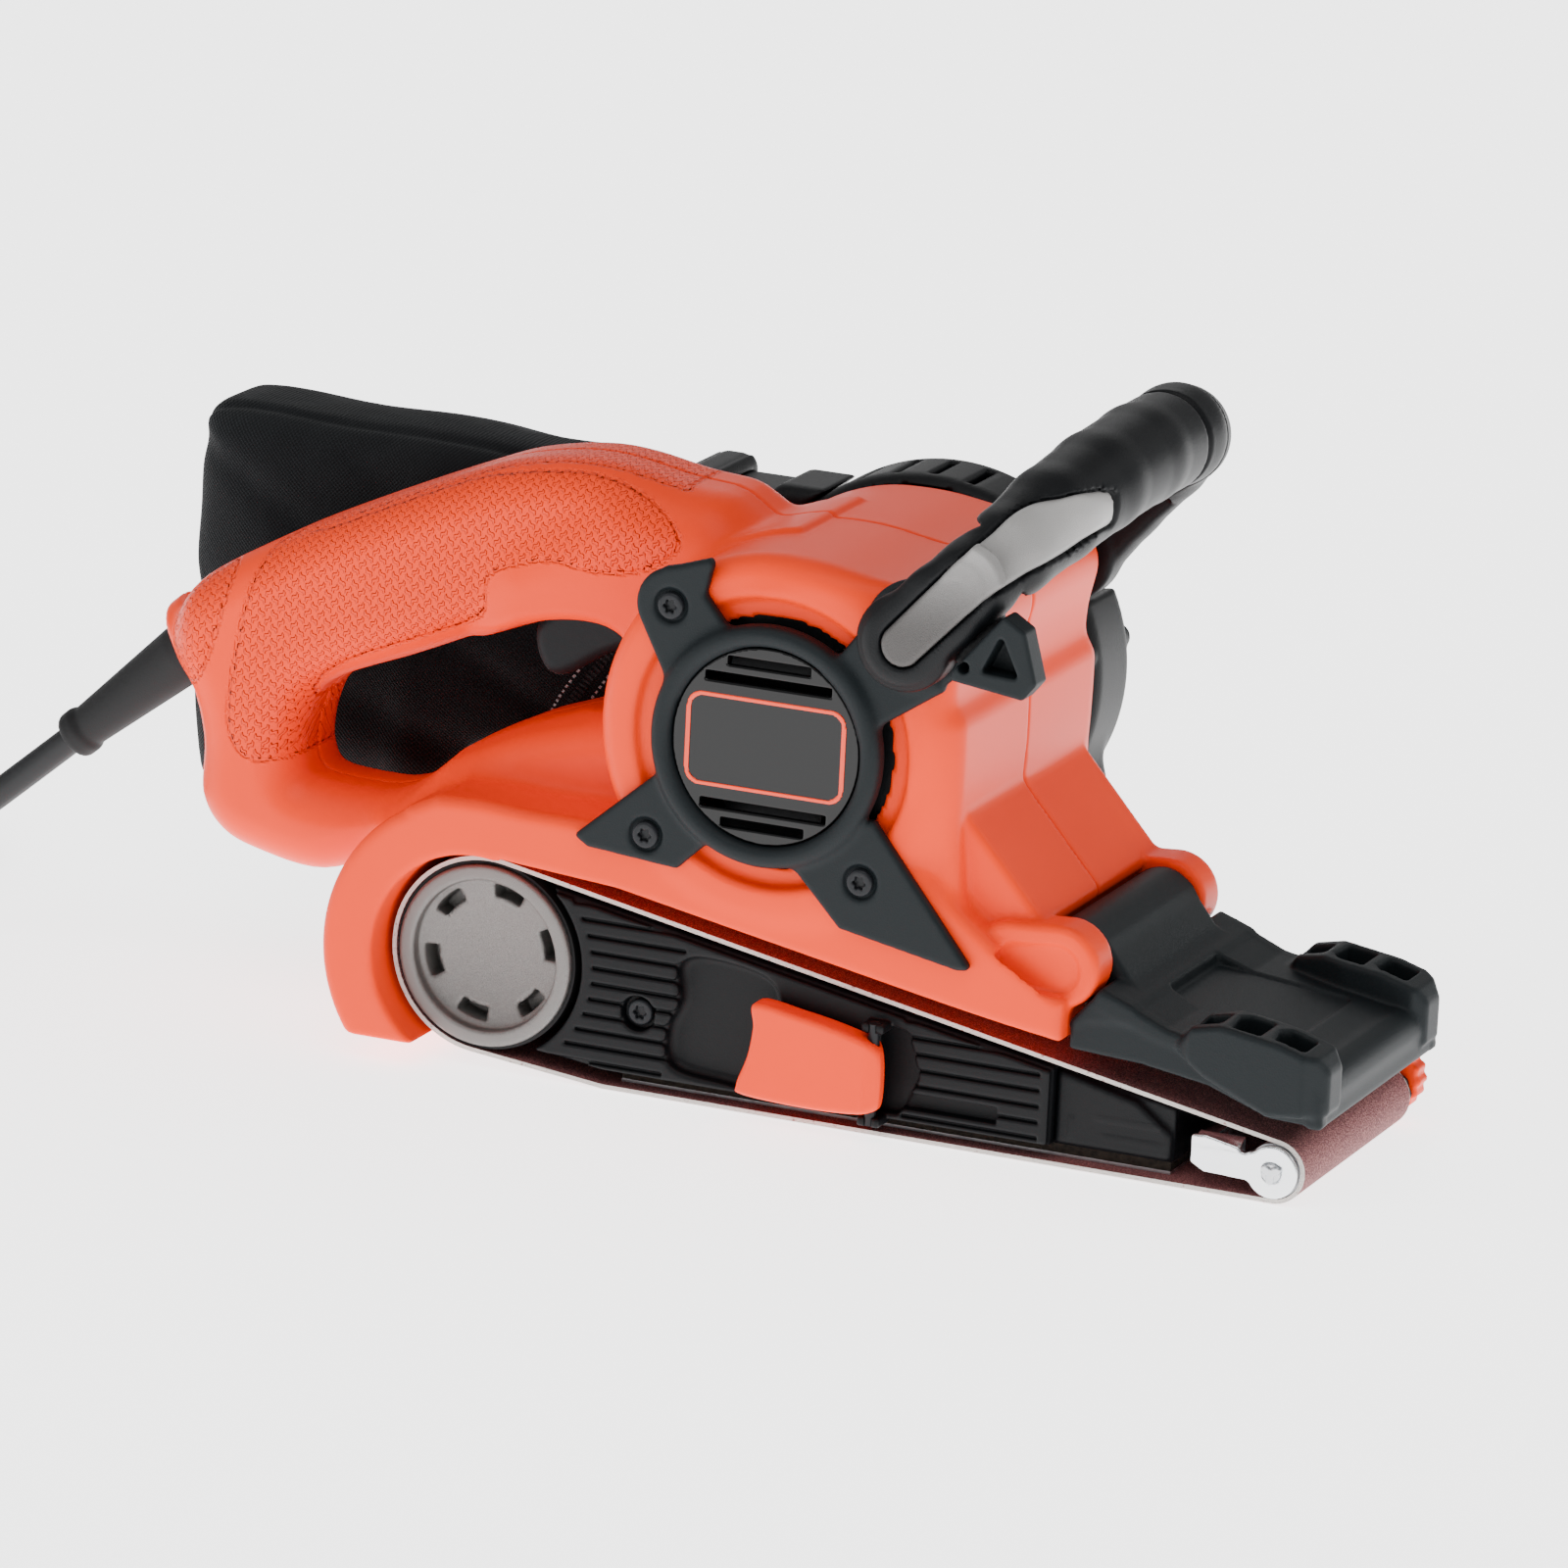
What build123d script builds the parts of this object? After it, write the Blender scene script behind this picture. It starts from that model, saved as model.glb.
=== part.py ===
"""Handheld belt sander: an electric motor across the body drives a 76 x 533 mm
sanding belt through a gear pair and a toothed belt.

Frame, in millimetres: +X forward to the nose, +Z up, -Y the open side where the
sanding belt comes off.  The origin is on the sole, at the middle of the belt's
width, straight below the motor's axis.
"""
import os
from math import acos, asin, atan2, cos, hypot, pi, radians, sin, tan

from build123d import *

os.makedirs("parts", exist_ok=True)

# ------------------------------------------------------------------ driving sizes
MOTOR_X, MOTOR_Z = 0.0, 98.4          # armature axis, along Y
DRUM_X, DRUM_Z = -78.6, 29.5          # rear drive drum axis
BELT_LENGTH = 533.0                   # standard 3 x 21 inch loop
BELT_HALF = 38.0                      # half the belt's width
BELT_THICK = 1.1
DRUM_BELT_R = 25.8                    # outside of the belt where it wraps the drum
NOSE_BELT_R = 8.2                     # outside of the belt where it wraps the roller
ROLLER_X, ROLLER_Z = 134.7, NOSE_BELT_R
PLATEN_BACK, PLATEN_FRONT = -45.0, 112.0
BELT_GAP = 0.2                        # belt to drum and belt to roller
FIT = 0.05                            # radial clearance of a running fit

SIDE = 47.0                           # half width of the case
WALL = 3.5
BARREL_R = 47.5                       # motor barrel
GRIP_HALF = 18.5                      # half width of the rear handle
SHAFT_R = 4.0                         # armature and countershaft
GRIP_ROUND = 6.0                      # rounding of the rear handle's long edges

GEAR_MODULE = 0.8
PINION_TEETH, GEAR_TEETH = 12, 48
PULLEY_PITCH_R = 0.478                # pitch radius for each tooth
SMALL_TEETH, BIG_TEETH = 14, 49

CENTRE_DISTANCE = GEAR_MODULE * (PINION_TEETH + GEAR_TEETH) / 2
DRUM_ANGLE = atan2(DRUM_Z - MOTOR_Z, DRUM_X - MOTOR_X)
COUNTER_X = MOTOR_X + CENTRE_DISTANCE * cos(DRUM_ANGLE)
COUNTER_Z = MOTOR_Z + CENTRE_DISTANCE * sin(DRUM_ANGLE)

PIVOT_X, PIVOT_Z = 38.0, 132.0        # front handle pivot
BAR_X, BAR_Z, BAR_R = 68.0, 169.0, 13.3   # front handle crossbar
HINGE_X, HINGE_Z = 77.0, 52.0         # nose cover hinge
LEVER_X, LEVER_Y = 29.5, -42.2        # tension lever hinge, upright
TRIGGER_X, TRIGGER_Z = -50.0, 113.0   # trigger hinge
LATCH_X, LATCH_Z = 55.0, 128.8        # handle latch hinge

CORD_R = 3.75
CORD_LENGTH = 1800.0

# slope of the upper run of the sanding belt
BELT_SPAN = hypot(ROLLER_X - DRUM_X, ROLLER_Z - DRUM_Z)
BELT_SLOPE = (
    atan2(ROLLER_Z - DRUM_Z, ROLLER_X - DRUM_X)
    - asin((DRUM_BELT_R - NOSE_BELT_R) / BELT_SPAN)
)


# ------------------------------------------------------------------ helpers
def side_plane(y):
    """Plane across Y that faces the near side: local x is X, local y is Z."""
    return Plane((0, y, 0), x_dir=(1, 0, 0), z_dir=(0, -1, 0))


def disc(x, z, radius, y_low, y_high, mode=Mode.ADD):
    """A cylinder along Y."""
    with BuildSketch(side_plane(y_high)) as face:
        with Locations((x, z)):
            Circle(radius)
    extrude(to_extrude=face.sketch, amount=y_high - y_low, mode=mode)


def slab(points, y_low, y_high, corner=0.0, mode=Mode.ADD):
    """A plate across Y with a straight-sided outline, its corners rounded."""
    with BuildSketch(side_plane(y_high)) as face:
        Polygon(*points, align=None)
        if corner:
            fillet(face.vertices(), corner)
    extrude(to_extrude=face.sketch, amount=y_high - y_low, mode=mode)


def link(x0, z0, r0, x1, z1, r1, y_low, y_high, mode=Mode.ADD):
    """A plate across Y: the hull of two circles."""
    with BuildSketch(side_plane(y_high)) as face:
        with Locations((x0, z0)):
            Circle(r0)
        with Locations((x1, z1)):
            Circle(r1)
        make_hull()
    extrude(to_extrude=face.sketch, amount=y_high - y_low, mode=mode)


def block(x_low, x_high, y_low, y_high, z_low, z_high, mode=Mode.ADD):
    """A box between two corners."""
    with Locations(((x_low + x_high) / 2, (y_low + y_high) / 2, (z_low + z_high) / 2)):
        Box(x_high - x_low, y_high - y_low, z_high - z_low, mode=mode)


def save(piece, name):
    """Label a finished piece and write it."""
    piece.part.label = name
    export_step(piece.part, f"parts/{name}.step")


def belt_top(x, below=0.0):
    """Height of the upper belt run's outside at x, or so far below it."""
    touch_x = DRUM_X - DRUM_BELT_R * sin(BELT_SLOPE)
    touch_z = DRUM_Z + DRUM_BELT_R * cos(BELT_SLOPE)
    return touch_z + tan(BELT_SLOPE) * (x - touch_x) - below / cos(BELT_SLOPE)


def belt_outline(inset):
    """Taut loop round the drum, the roller and the platen, pulled in by inset."""
    with Locations((DRUM_X, DRUM_Z)):
        Circle(DRUM_BELT_R - inset)
    with Locations((ROLLER_X, ROLLER_Z)):
        Circle(NOSE_BELT_R - inset)
    with Locations(((PLATEN_BACK + PLATEN_FRONT) / 2, inset + 1.0)):
        Rectangle(PLATEN_FRONT - PLATEN_BACK, 2.0)
    make_hull()


def gear_outline(teeth, phase, thinning):
    """Closed points of an involute spur gear, 25 degree pressure angle."""
    pressure = radians(25)
    pitch_r = GEAR_MODULE * teeth / 2
    base_r = pitch_r * cos(pressure)
    tip_r = pitch_r + 0.9 * GEAR_MODULE
    root_r = pitch_r - 1.25 * GEAR_MODULE
    half_pitch = pi / (2 * teeth) - thinning / pitch_r

    def half_angle(radius):
        turn = acos(min(1.0, base_r / radius))
        return half_pitch + (tan(pressure) - pressure) - (tan(turn) - turn)

    radii = [root_r, max(base_r, root_r + 0.1), pitch_r, (pitch_r + tip_r) / 2, tip_r]
    points = []
    for tooth in range(teeth):
        middle = phase + 2 * pi * tooth / teeth
        flank = [(r, half_angle(max(r, base_r))) for r in radii]
        for r, a in flank:
            points.append((r * cos(middle - a), r * sin(middle - a)))
        for r, a in reversed(flank):
            points.append((r * cos(middle + a), r * sin(middle + a)))
    return points


# ------------------------------------------------------------------ case
def make_case():
    """Both halves of the moulded case, split at the middle of the width."""
    with BuildPart() as loop:
        with BuildSketch(side_plane(GRIP_HALF)):
            with BuildLine():
                Spline(
                    (-24, 141), (-65, 154.4), (-103, 145.2), (-153, 121.5),
                    (-180.5, 101), (-182, 89), (-173.5, 73), (-173, 54),
                    (-160.5, 39.5), (-138, 35.5), (-108, 50),
                )
                Polyline((-108, 50), (-60, 60), (-24, 141))
            make_face()
        extrude(amount=2 * GRIP_HALF)
        fillet(loop.edges().filter_by(GeomType.BSPLINE), GRIP_ROUND)
    with BuildPart() as case:
        disc(MOTOR_X, MOTOR_Z, BARREL_R, -SIDE, SIDE)
        fillet(case.edges().filter_by(GeomType.CIRCLE).sort_by(Axis.Y)[0], 6)
        # shoulders that carry the front handle
        link(MOTOR_X + 14, MOTOR_Z + 14, 30, PIVOT_X, PIVOT_Z, 11, -SIDE + 1, SIDE)
        # upright front and the sloping block over the nose hinge
        slab([(0, 118), (48, 108), (48, 87), (70, 62), (74, 40), (0, 52)], -40, SIDE, 2)
        # belt guard: round the back of the drum and along the upper run
        disc(DRUM_X, DRUM_Z, 42, -SIDE, SIDE)
        slab([(-99.6, 65.9), (-92, 70.8), (-45, 71), (40, 72), (62, 58), (81, 44),
              (80, belt_top(80) + 7), (-60, 48)], -SIDE, SIDE)
        # far wall closes the belt's other edge
        slab([(-100, 3), (106, 3), (106, 14), (80.2, 28), (80.2, 33), (-60, 66)], 40.5, SIDE)
        # ridge from the guard up to the barrel
        slab([(-118, 54), (-98, 72.3), (-80, 81.4), (-64, 86.8), (-30, 90), (-30, 50)],
             -22, 22, 1.5)
        # rear handle loop
        add(loop.part)
        slab(
            [(-114, 61.4), (-142, 59.5), (-144.5, 72), (-137.5, 88), (-88, 109),
             (-62, 114.5), (-46.5, 106), (-46.8, 89), (-66, 87), (-98, 72.3)],
            -30, 30, 5, mode=Mode.SUBTRACT,
        )
        # space under the belt guard for the sanding belt
        disc(DRUM_X, DRUM_Z, 27.8, -SIDE - 1, 40.5, mode=Mode.SUBTRACT)
        slab([(-72, belt_top(-72) + 3), (-40, belt_top(-40) + 6.5),
              (90, belt_top(90) + 7.2), (90, -2), (-91, -2), (-91, 5)],
             -SIDE - 1, 40.5, mode=Mode.SUBTRACT)
        block(-130, 120, -SIDE - 1, 40.5, -45, 5.8, mode=Mode.SUBTRACT)
        block(-130, -95, 40, SIDE + 1, -45, 5.8, mode=Mode.SUBTRACT)
        block(-130, 120, 40, SIDE + 1, -45, 3.0, mode=Mode.SUBTRACT)
        # hinge ears for the nose cover
        for low, high in ((-42, -30.5), (30.5, 42)):
            link(HINGE_X, HINGE_Z, 10.5, 64, 52, 9, low, high)
        disc(HINGE_X, HINGE_Z, 9.6, -30.5, 30.5, mode=Mode.SUBTRACT)
        block(70, 100, -30.5, 30.5, 42, 70, mode=Mode.SUBTRACT)
        disc(HINGE_X, HINGE_Z, 2.5, -41, 43, mode=Mode.SUBTRACT)
        # motor space, with the near wall open for the ring cover
        disc(MOTOR_X, MOTOR_Z, 43.8, -SIDE + WALL, SIDE - 4, mode=Mode.SUBTRACT)
        disc(MOTOR_X, MOTOR_Z, 30.7, -SIDE - 1, -SIDE + 10, mode=Mode.SUBTRACT)
        disc(MOTOR_X, MOTOR_Z, 40, 30, SIDE + 1, mode=Mode.SUBTRACT)
        # hollow of the grip, round the switch and the cord clamp
        slab([(-170, 98), (-124, 129), (-82, 146), (-62, 148), (-46, 140), (-46, 122),
              (-88, 117), (-120, 105), (-150, 88)], -14, 14, 3, mode=Mode.SUBTRACT)
        # trigger slot
        slab([(-85, 92), (-44, 92), (-44, 124), (-60, 126), (-85, 124)], -9.6, 9.6,
             mode=Mode.SUBTRACT)
        disc(TRIGGER_X, TRIGGER_Z, 1.6, -15, 15, mode=Mode.SUBTRACT)
        # lock button bore, far side
        disc(-70, 131, 4.6, 10, 30, mode=Mode.SUBTRACT)
        # drum bearing carrier, handle pivots, duct foot
        disc(DRUM_X, DRUM_Z, 16, 38, SIDE + 1, mode=Mode.SUBTRACT)
        disc(PIVOT_X, PIVOT_Z, 4, -SIDE - 5, SIDE + 5, mode=Mode.SUBTRACT)
        # strain relief socket in the back of the handle
        with BuildSketch(RELIEF_PLANE.offset(-14)) as socket:
            Circle(5.0)
        extrude(to_extrude=socket.sketch, amount=30, mode=Mode.SUBTRACT)
        # screw holes under the ring cover and in the side of the barrel
        for x, z in COVER_SCREWS:
            disc(x, z, 1.9, -SIDE - 1, -SIDE + 9, mode=Mode.SUBTRACT)
        for x, z in FAR_SCREWS:
            disc(x, z, 1.9, SIDE - 3.9, SIDE + 1, mode=Mode.SUBTRACT)
    with BuildPart() as left:
        add(case.part)
        split(bisect_by=Plane.XZ, keep=Keep.TOP)
    with BuildPart() as right:
        add(case.part)
        split(bisect_by=Plane.XZ, keep=Keep.BOTTOM)
    save(left, "housing_left")
    save(right, "housing_right")


# strain relief axis: out of the handle's back, down and to the rear
RELIEF_TOP = Vector(-181.0, 0, 87.0)
RELIEF_END = Vector(-214.6, 0, 57.8)
RELIEF_PLANE = Plane(
    origin=(-181.0, 0, 87.0), x_dir=(0, 1, 0), z_dir=(-33.6, 0, -29.2)
)
COVER_SCREWS = [(-27.3, 130.3), (-31.3, 71.1), (26.6, 67.7)]
FAR_SCREWS = [(-48, 66), (-104, 45), (-54.5, 10.5), (24, 58.5), (43.8, 106.1)]


def make_ring_cover():
    """Black ring on the near face with four legs, three of them screwed down."""
    with BuildPart() as ring:
        slab([(-20, 120), (-30, 112), (-36, 124), (-34, 133), (-28, 140), (-17, 142.5),
              (-17.5, 136), (-12, 126)], -50, -SIDE, 1.5)
        slab([(-28, 88), (-50.6, 67.7), (-22.8, 63.5), (-14, 72)], -50, -SIDE, 1)
        slab([(9, 70), (22.5, 54.5), (56.3, 49.3), (28, 84)], -50, -SIDE, 1)
        link(18, 116, 9, PIVOT_X, PIVOT_Z, 9, -49.3, -SIDE)
        disc(MOTOR_X, MOTOR_Z, 30.5, -52.5, -SIDE + 1)
        disc(MOTOR_X, MOTOR_Z, 25.1, -54, -SIDE + 2, mode=Mode.SUBTRACT)
        disc(PIVOT_X, PIVOT_Z, 4, -54, -SIDE + 2, mode=Mode.SUBTRACT)
        for x, z in COVER_SCREWS:
            disc(x, z, 3.6, -54, -48.6, mode=Mode.SUBTRACT)
            disc(x, z, 1.9, -54, -SIDE + 2, mode=Mode.SUBTRACT)
    save(ring, "ring_cover")


def make_badge():
    """Dished disc inside the ring, with cooling slots above and below its panel."""
    with BuildPart() as badge:
        disc(MOTOR_X, MOTOR_Z, 25.1, -51.0, -48.4)
        for row in (-20.5, -16.2, 16.2, 20.5):
            half = (22.8**2 - row**2) ** 0.5
            block(-half, half, -52, -48, MOTOR_Z + row - 0.9, MOTOR_Z + row + 0.9,
                  mode=Mode.SUBTRACT)
    save(badge, "badge_plate")


def make_screws():
    """Three screws through the ring cover, five in the drive cover, one below."""
    with BuildPart() as screws:
        for x, z in COVER_SCREWS:
            disc(x, z, 3.5, -50.4, -48.6)
            disc(x, z, 1.8, -48.6, -SIDE + WALL - 0.1)
            disc(x, z, 1.4, -51, -49.4, mode=Mode.SUBTRACT)
        for x, z in FAR_SCREWS:
            disc(x, z, 3.5, 73.0, 75.0)
            disc(x, z, 1.8, SIDE - 3.5, 73.0)
            disc(x, z, 1.4, 74, 76, mode=Mode.SUBTRACT)
        disc(-36.1, 21.1, 3.4, -37, -35)
        disc(-36.1, 21.1, 1.8, -35, -24)
    save(screws, "case_screws")


# ------------------------------------------------------------------ belt carriage
def carriage_outline(inset, x_end, floor):
    """Profile inside the belt loop: hollow round the drum, straight above and below."""
    Polygon(
        (DRUM_X, belt_top(DRUM_X, inset)), (x_end, belt_top(x_end, inset)),
        (x_end, floor), (PLATEN_BACK, floor), (DRUM_X, floor + 4.0), align=None,
    )
    with Locations((DRUM_X, DRUM_Z)):
        Circle(26.6, mode=Mode.SUBTRACT)
    with Locations((DRUM_X - 20, DRUM_Z)):
        Rectangle(44, 80, mode=Mode.SUBTRACT)


def make_belt_frame():
    """Cast frame inside the belt loop, fixed to the far wall of the case."""
    with BuildPart() as frame:
        with BuildSketch(side_plane(40.5)) as body:
            carriage_outline(3.0, 107, 4.4)
        extrude(to_extrude=body.sketch, amount=74)
        # weight-saving pocket from the far side, behind a solid near face
        slab([(-42, 10), (40, 10), (40, 26), (-30, 39)], 0, 36, 3, mode=Mode.SUBTRACT)
        # far arm to the nose, which carries the tracking knob
        slab([(100, 4), (134, 3), (143, 8), (141, 13.5), (100, 19)], 38.4, 40.4, 1)
        # bore for the yoke's stem and its spring
        with BuildSketch(Plane((110, 0, 10.2), z_dir=(-1, 0, 0))) as bore:
            Circle(4.0 + FIT)
        extrude(to_extrude=bore.sketch, amount=52, mode=Mode.SUBTRACT)
        disc(KNOB_X, KNOB_Z, 3.0 + FIT, 36, 42, mode=Mode.SUBTRACT)
        disc(-36.1, 21.1, 1.9, -34, -22, mode=Mode.SUBTRACT)
    save(frame, "belt_frame")


def make_side_cover():
    """Ribbed black cover over the near side of the frame, with a finger recess."""
    with BuildPart() as cover:
        with BuildSketch(side_plane(-33.5)) as body:
            carriage_outline(2.6, 75.5, 4.6)
        extrude(to_extrude=body.sketch, amount=3.4)
        with BuildSketch(side_plane(-36.9)) as face:
            carriage_outline(3.6, 75, 5.2)
        extrude(to_extrude=face.sketch, amount=1.6)
        # grooves between the ribs, behind and in front of the lever
        for step in range(7):
            z = 10.5 + 4.6 * step
            block(-49.5 + 0.35 * abs(step - 3) ** 2, -29, -39, -37.5, z, z + 1.1,
                  mode=Mode.SUBTRACT)
        for step in range(4):
            z = 8.5 + 4.6 * step
            block(38, 73, -39, -37.5, z, z + 1.1, mode=Mode.SUBTRACT)
        # finger recess beside the lever, screw hole, slot
        slab([(-26.5, 8), (-7.5, 8), (-4, 33.5), (-26, 37.5)], -39, -34.3, 1.5,
             mode=Mode.SUBTRACT)
        disc(-36.1, 21.1, 4.0, -39, -35, mode=Mode.SUBTRACT)
        disc(-36.1, 21.1, 1.9, -39, -33, mode=Mode.SUBTRACT)
        block(36, 61.5, -39, -35.5, 8.2, 12.6, mode=Mode.SUBTRACT)
        # lugs for the lever's pin
        for z in (3.7, 27.9):
            with Locations((LEVER_X, LEVER_Y + 1.9, z + 1.2)):
                Box(6.0, 7.2, 2.4)
        with BuildSketch(Plane.XY.offset(2)) as pin_hole:
            with Locations((LEVER_X, LEVER_Y)):
                Circle(1.5)
        extrude(to_extrude=pin_hole.sketch, amount=34, mode=Mode.SUBTRACT)
    save(cover, "side_cover")


def make_platen():
    """Cork pad and steel shoe between the frame and the lower belt run."""
    for name, low, high in (("platen_shoe", BELT_THICK, 1.9), ("platen_cork", 1.9, 4.4)):
        with BuildPart() as plate:
            block(PLATEN_BACK + 3, 106, -32.5, 37.5, low, high)
        save(plate, name)


def make_sanding_belt():
    """Abrasive belt, a closed loop round the drum, the platen and the roller."""
    with BuildPart() as belt:
        with BuildSketch(side_plane(BELT_HALF)) as outer:
            belt_outline(0)
        round_trip = sum(edge.length for edge in outer.sketch.edges())
        print("belt loop", round(round_trip, 1), "of", BELT_LENGTH)
        extrude(to_extrude=outer.sketch, amount=2 * BELT_HALF)
        with BuildSketch(side_plane(BELT_HALF + 1)) as inner:
            belt_outline(BELT_THICK)
        extrude(to_extrude=inner.sketch, amount=2 * BELT_HALF + 2, mode=Mode.SUBTRACT)
    save(belt, "sanding_belt")


# ------------------------------------------------------------------ drum
DRUM_R = DRUM_BELT_R - BELT_THICK - BELT_GAP
DRUM_SHAFT_R = 5.0


def make_drum():
    """Drive drum: moulded hub with a slotted, dished cap, and a rubber tyre."""
    with BuildPart() as hub:
        disc(DRUM_X, DRUM_Z, DRUM_R - 2.3, -37.2, 37)
        disc(DRUM_X, DRUM_Z, DRUM_R - 0.9, -39.0, -37.2)
        disc(DRUM_X, DRUM_Z, 18.8, 4, 38, mode=Mode.SUBTRACT)
        disc(DRUM_X, DRUM_Z, 18.5, -40, -33.5, mode=Mode.SUBTRACT)
        with BuildSketch(side_plane(-30)) as slots:
            with Locations((DRUM_X, DRUM_Z)):
                with PolarLocations(16.0, 6, start_angle=15):
                    Rectangle(3.4, 7.5)
        extrude(to_extrude=slots.sketch, amount=8, mode=Mode.SUBTRACT)
        disc(DRUM_X, DRUM_Z, DRUM_SHAFT_R, -31, 10, mode=Mode.SUBTRACT)
    save(hub, "drum_hub")
    with BuildPart() as tyre:
        disc(DRUM_X, DRUM_Z, DRUM_R, -37.2, 37)
        disc(DRUM_X, DRUM_Z, DRUM_R - 2.3, -38, 38, mode=Mode.SUBTRACT)
    save(tyre, "drum_tyre")
    with BuildPart() as shaft:
        disc(DRUM_X, DRUM_Z, DRUM_SHAFT_R, -31, 67)
    save(shaft, "drum_shaft")


def make_carrier():
    """Tube that holds the drum's two ball bearings inside the hollow drum."""
    with BuildPart() as carrier:
        disc(DRUM_X, DRUM_Z, 16, 11, 50)
        disc(DRUM_X, DRUM_Z, 20.5, SIDE, 50)
        disc(DRUM_X, DRUM_Z, 13, 12, 50.5, mode=Mode.SUBTRACT)
        disc(DRUM_X, DRUM_Z, 8, 10, 13, mode=Mode.SUBTRACT)
    save(carrier, "bearing_carrier")


def make_bearings():
    """Two ball bearings each for the drum, the armature and the countershaft."""
    places = [
        (DRUM_X, DRUM_Z, 13.0, DRUM_SHAFT_R, 12, 20),
        (DRUM_X, DRUM_Z, 13.0, DRUM_SHAFT_R, 42, 50),
        (MOTOR_X, MOTOR_Z, 11.0, SHAFT_R, -46.5, -39.5),
        (MOTOR_X, MOTOR_Z, 11.0, SHAFT_R, 37, 44),
        (COUNTER_X, COUNTER_Z, 8.0, SHAFT_R, 39, 44),
        (COUNTER_X, COUNTER_Z, 8.0, SHAFT_R, 66.7, 70),
    ]
    with BuildPart() as bearings:
        for x, z, outer, inner, low, high in places:
            disc(x, z, outer, low, high)
            disc(x, z, inner + FIT, low - 1, high + 1, mode=Mode.SUBTRACT)
    save(bearings, "ball_bearings")


# ------------------------------------------------------------------ nose roller
KNOB_X, KNOB_Z = 135.0, 11.8
ROLLER_R = NOSE_BELT_R - BELT_THICK - BELT_GAP
AXLE_R = 2.5


def make_roller():
    """Front roller on its axle, carried by a steel yoke that a spring pushes out."""
    with BuildPart() as roller:
        disc(ROLLER_X, ROLLER_Z, ROLLER_R, -37.4, 36.1)
        disc(ROLLER_X, ROLLER_Z, AXLE_R + FIT, -38, 37, mode=Mode.SUBTRACT)
    save(roller, "front_roller")
    with BuildPart() as axle:
        disc(ROLLER_X, ROLLER_Z, AXLE_R, -39.8, 37.7)
    save(axle, "roller_axle")
    with BuildPart() as yoke:
        for low, high in ((-39.4, -37.7), (36.4, 37.7)):
            disc(ROLLER_X, ROLLER_Z, 6.6, low, high)
            slab([(113, 7.4), (124, 5.2), (134, 5.0), (134, 12.5), (124, 13.5),
                  (113, 14.2)], low, high)
        block(113, 117, -37.7, 37.7, 7.2, 13.2)
        with BuildSketch(Plane((114, 0, 10.2), z_dir=(-1, 0, 0))) as stem:
            Circle(4.0)
        extrude(to_extrude=stem.sketch, amount=36)
        disc(ROLLER_X, ROLLER_Z, AXLE_R, -41, 39, mode=Mode.SUBTRACT)
    save(yoke, "roller_yoke")
    with BuildPart() as spring:
        with BuildSketch(Plane((77.8, 0, 10.2), z_dir=(-1, 0, 0))) as coil:
            Circle(3.6)
            Circle(2.2, mode=Mode.SUBTRACT)
        extrude(to_extrude=coil.sketch, amount=19.5)
    save(spring, "tension_spring")


def make_tracking_knob():
    """Knob on the far side of the nose that steers the belt."""
    with BuildPart() as knob:
        disc(KNOB_X, KNOB_Z, 9.4, 40.8, 47.4)
        with BuildSketch(side_plane(49)) as flutes:
            with Locations((KNOB_X, KNOB_Z)):
                with PolarLocations(10.3, 12):
                    Circle(1.7)
        extrude(to_extrude=flutes.sketch, amount=9, mode=Mode.SUBTRACT)
        disc(KNOB_X, KNOB_Z, 3.0, 38.4, 40.8)
    save(knob, "tracking_knob")


def make_tension_lever():
    """Lever that pulls out of the side cover to slacken the belt."""
    with BuildPart() as lever:
        with BuildSketch(Plane.XY.offset(6.5)) as plan:
            with BuildLine():
                Polyline((-6, -46), (29, -46.3), (33, -45), (33, -42.5), (30.5, -39.3),
                         (-6, -39.1), close=True)
            make_face()
        extrude(to_extrude=plan.sketch, amount=25)
        with BuildSketch(side_plane(-38)) as shape:
            with BuildLine():
                Polyline((-1.3, 31), (28, 26.8), (33.1, 22.5), (33.1, 10), (28.5, 6.9),
                         (9.9, 6.6), (-5.4, 8.4), (-2.9, 17.4), (-1.4, 25), close=True)
            make_face()
        extrude(to_extrude=shape.sketch, amount=12, mode=Mode.INTERSECT)
        with BuildSketch(Plane.XY) as bore:
            with Locations((LEVER_X, LEVER_Y)):
                Circle(1.5 + FIT)
        extrude(to_extrude=bore.sketch, amount=40, mode=Mode.SUBTRACT)
    save(lever, "tension_lever")
    with BuildPart() as pin:
        with BuildSketch(Plane.XY.offset(3.9)) as rod:
            with Locations((LEVER_X, LEVER_Y)):
                Circle(1.5)
        extrude(to_extrude=rod.sketch, amount=26.2)
    save(pin, "lever_pin")


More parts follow.
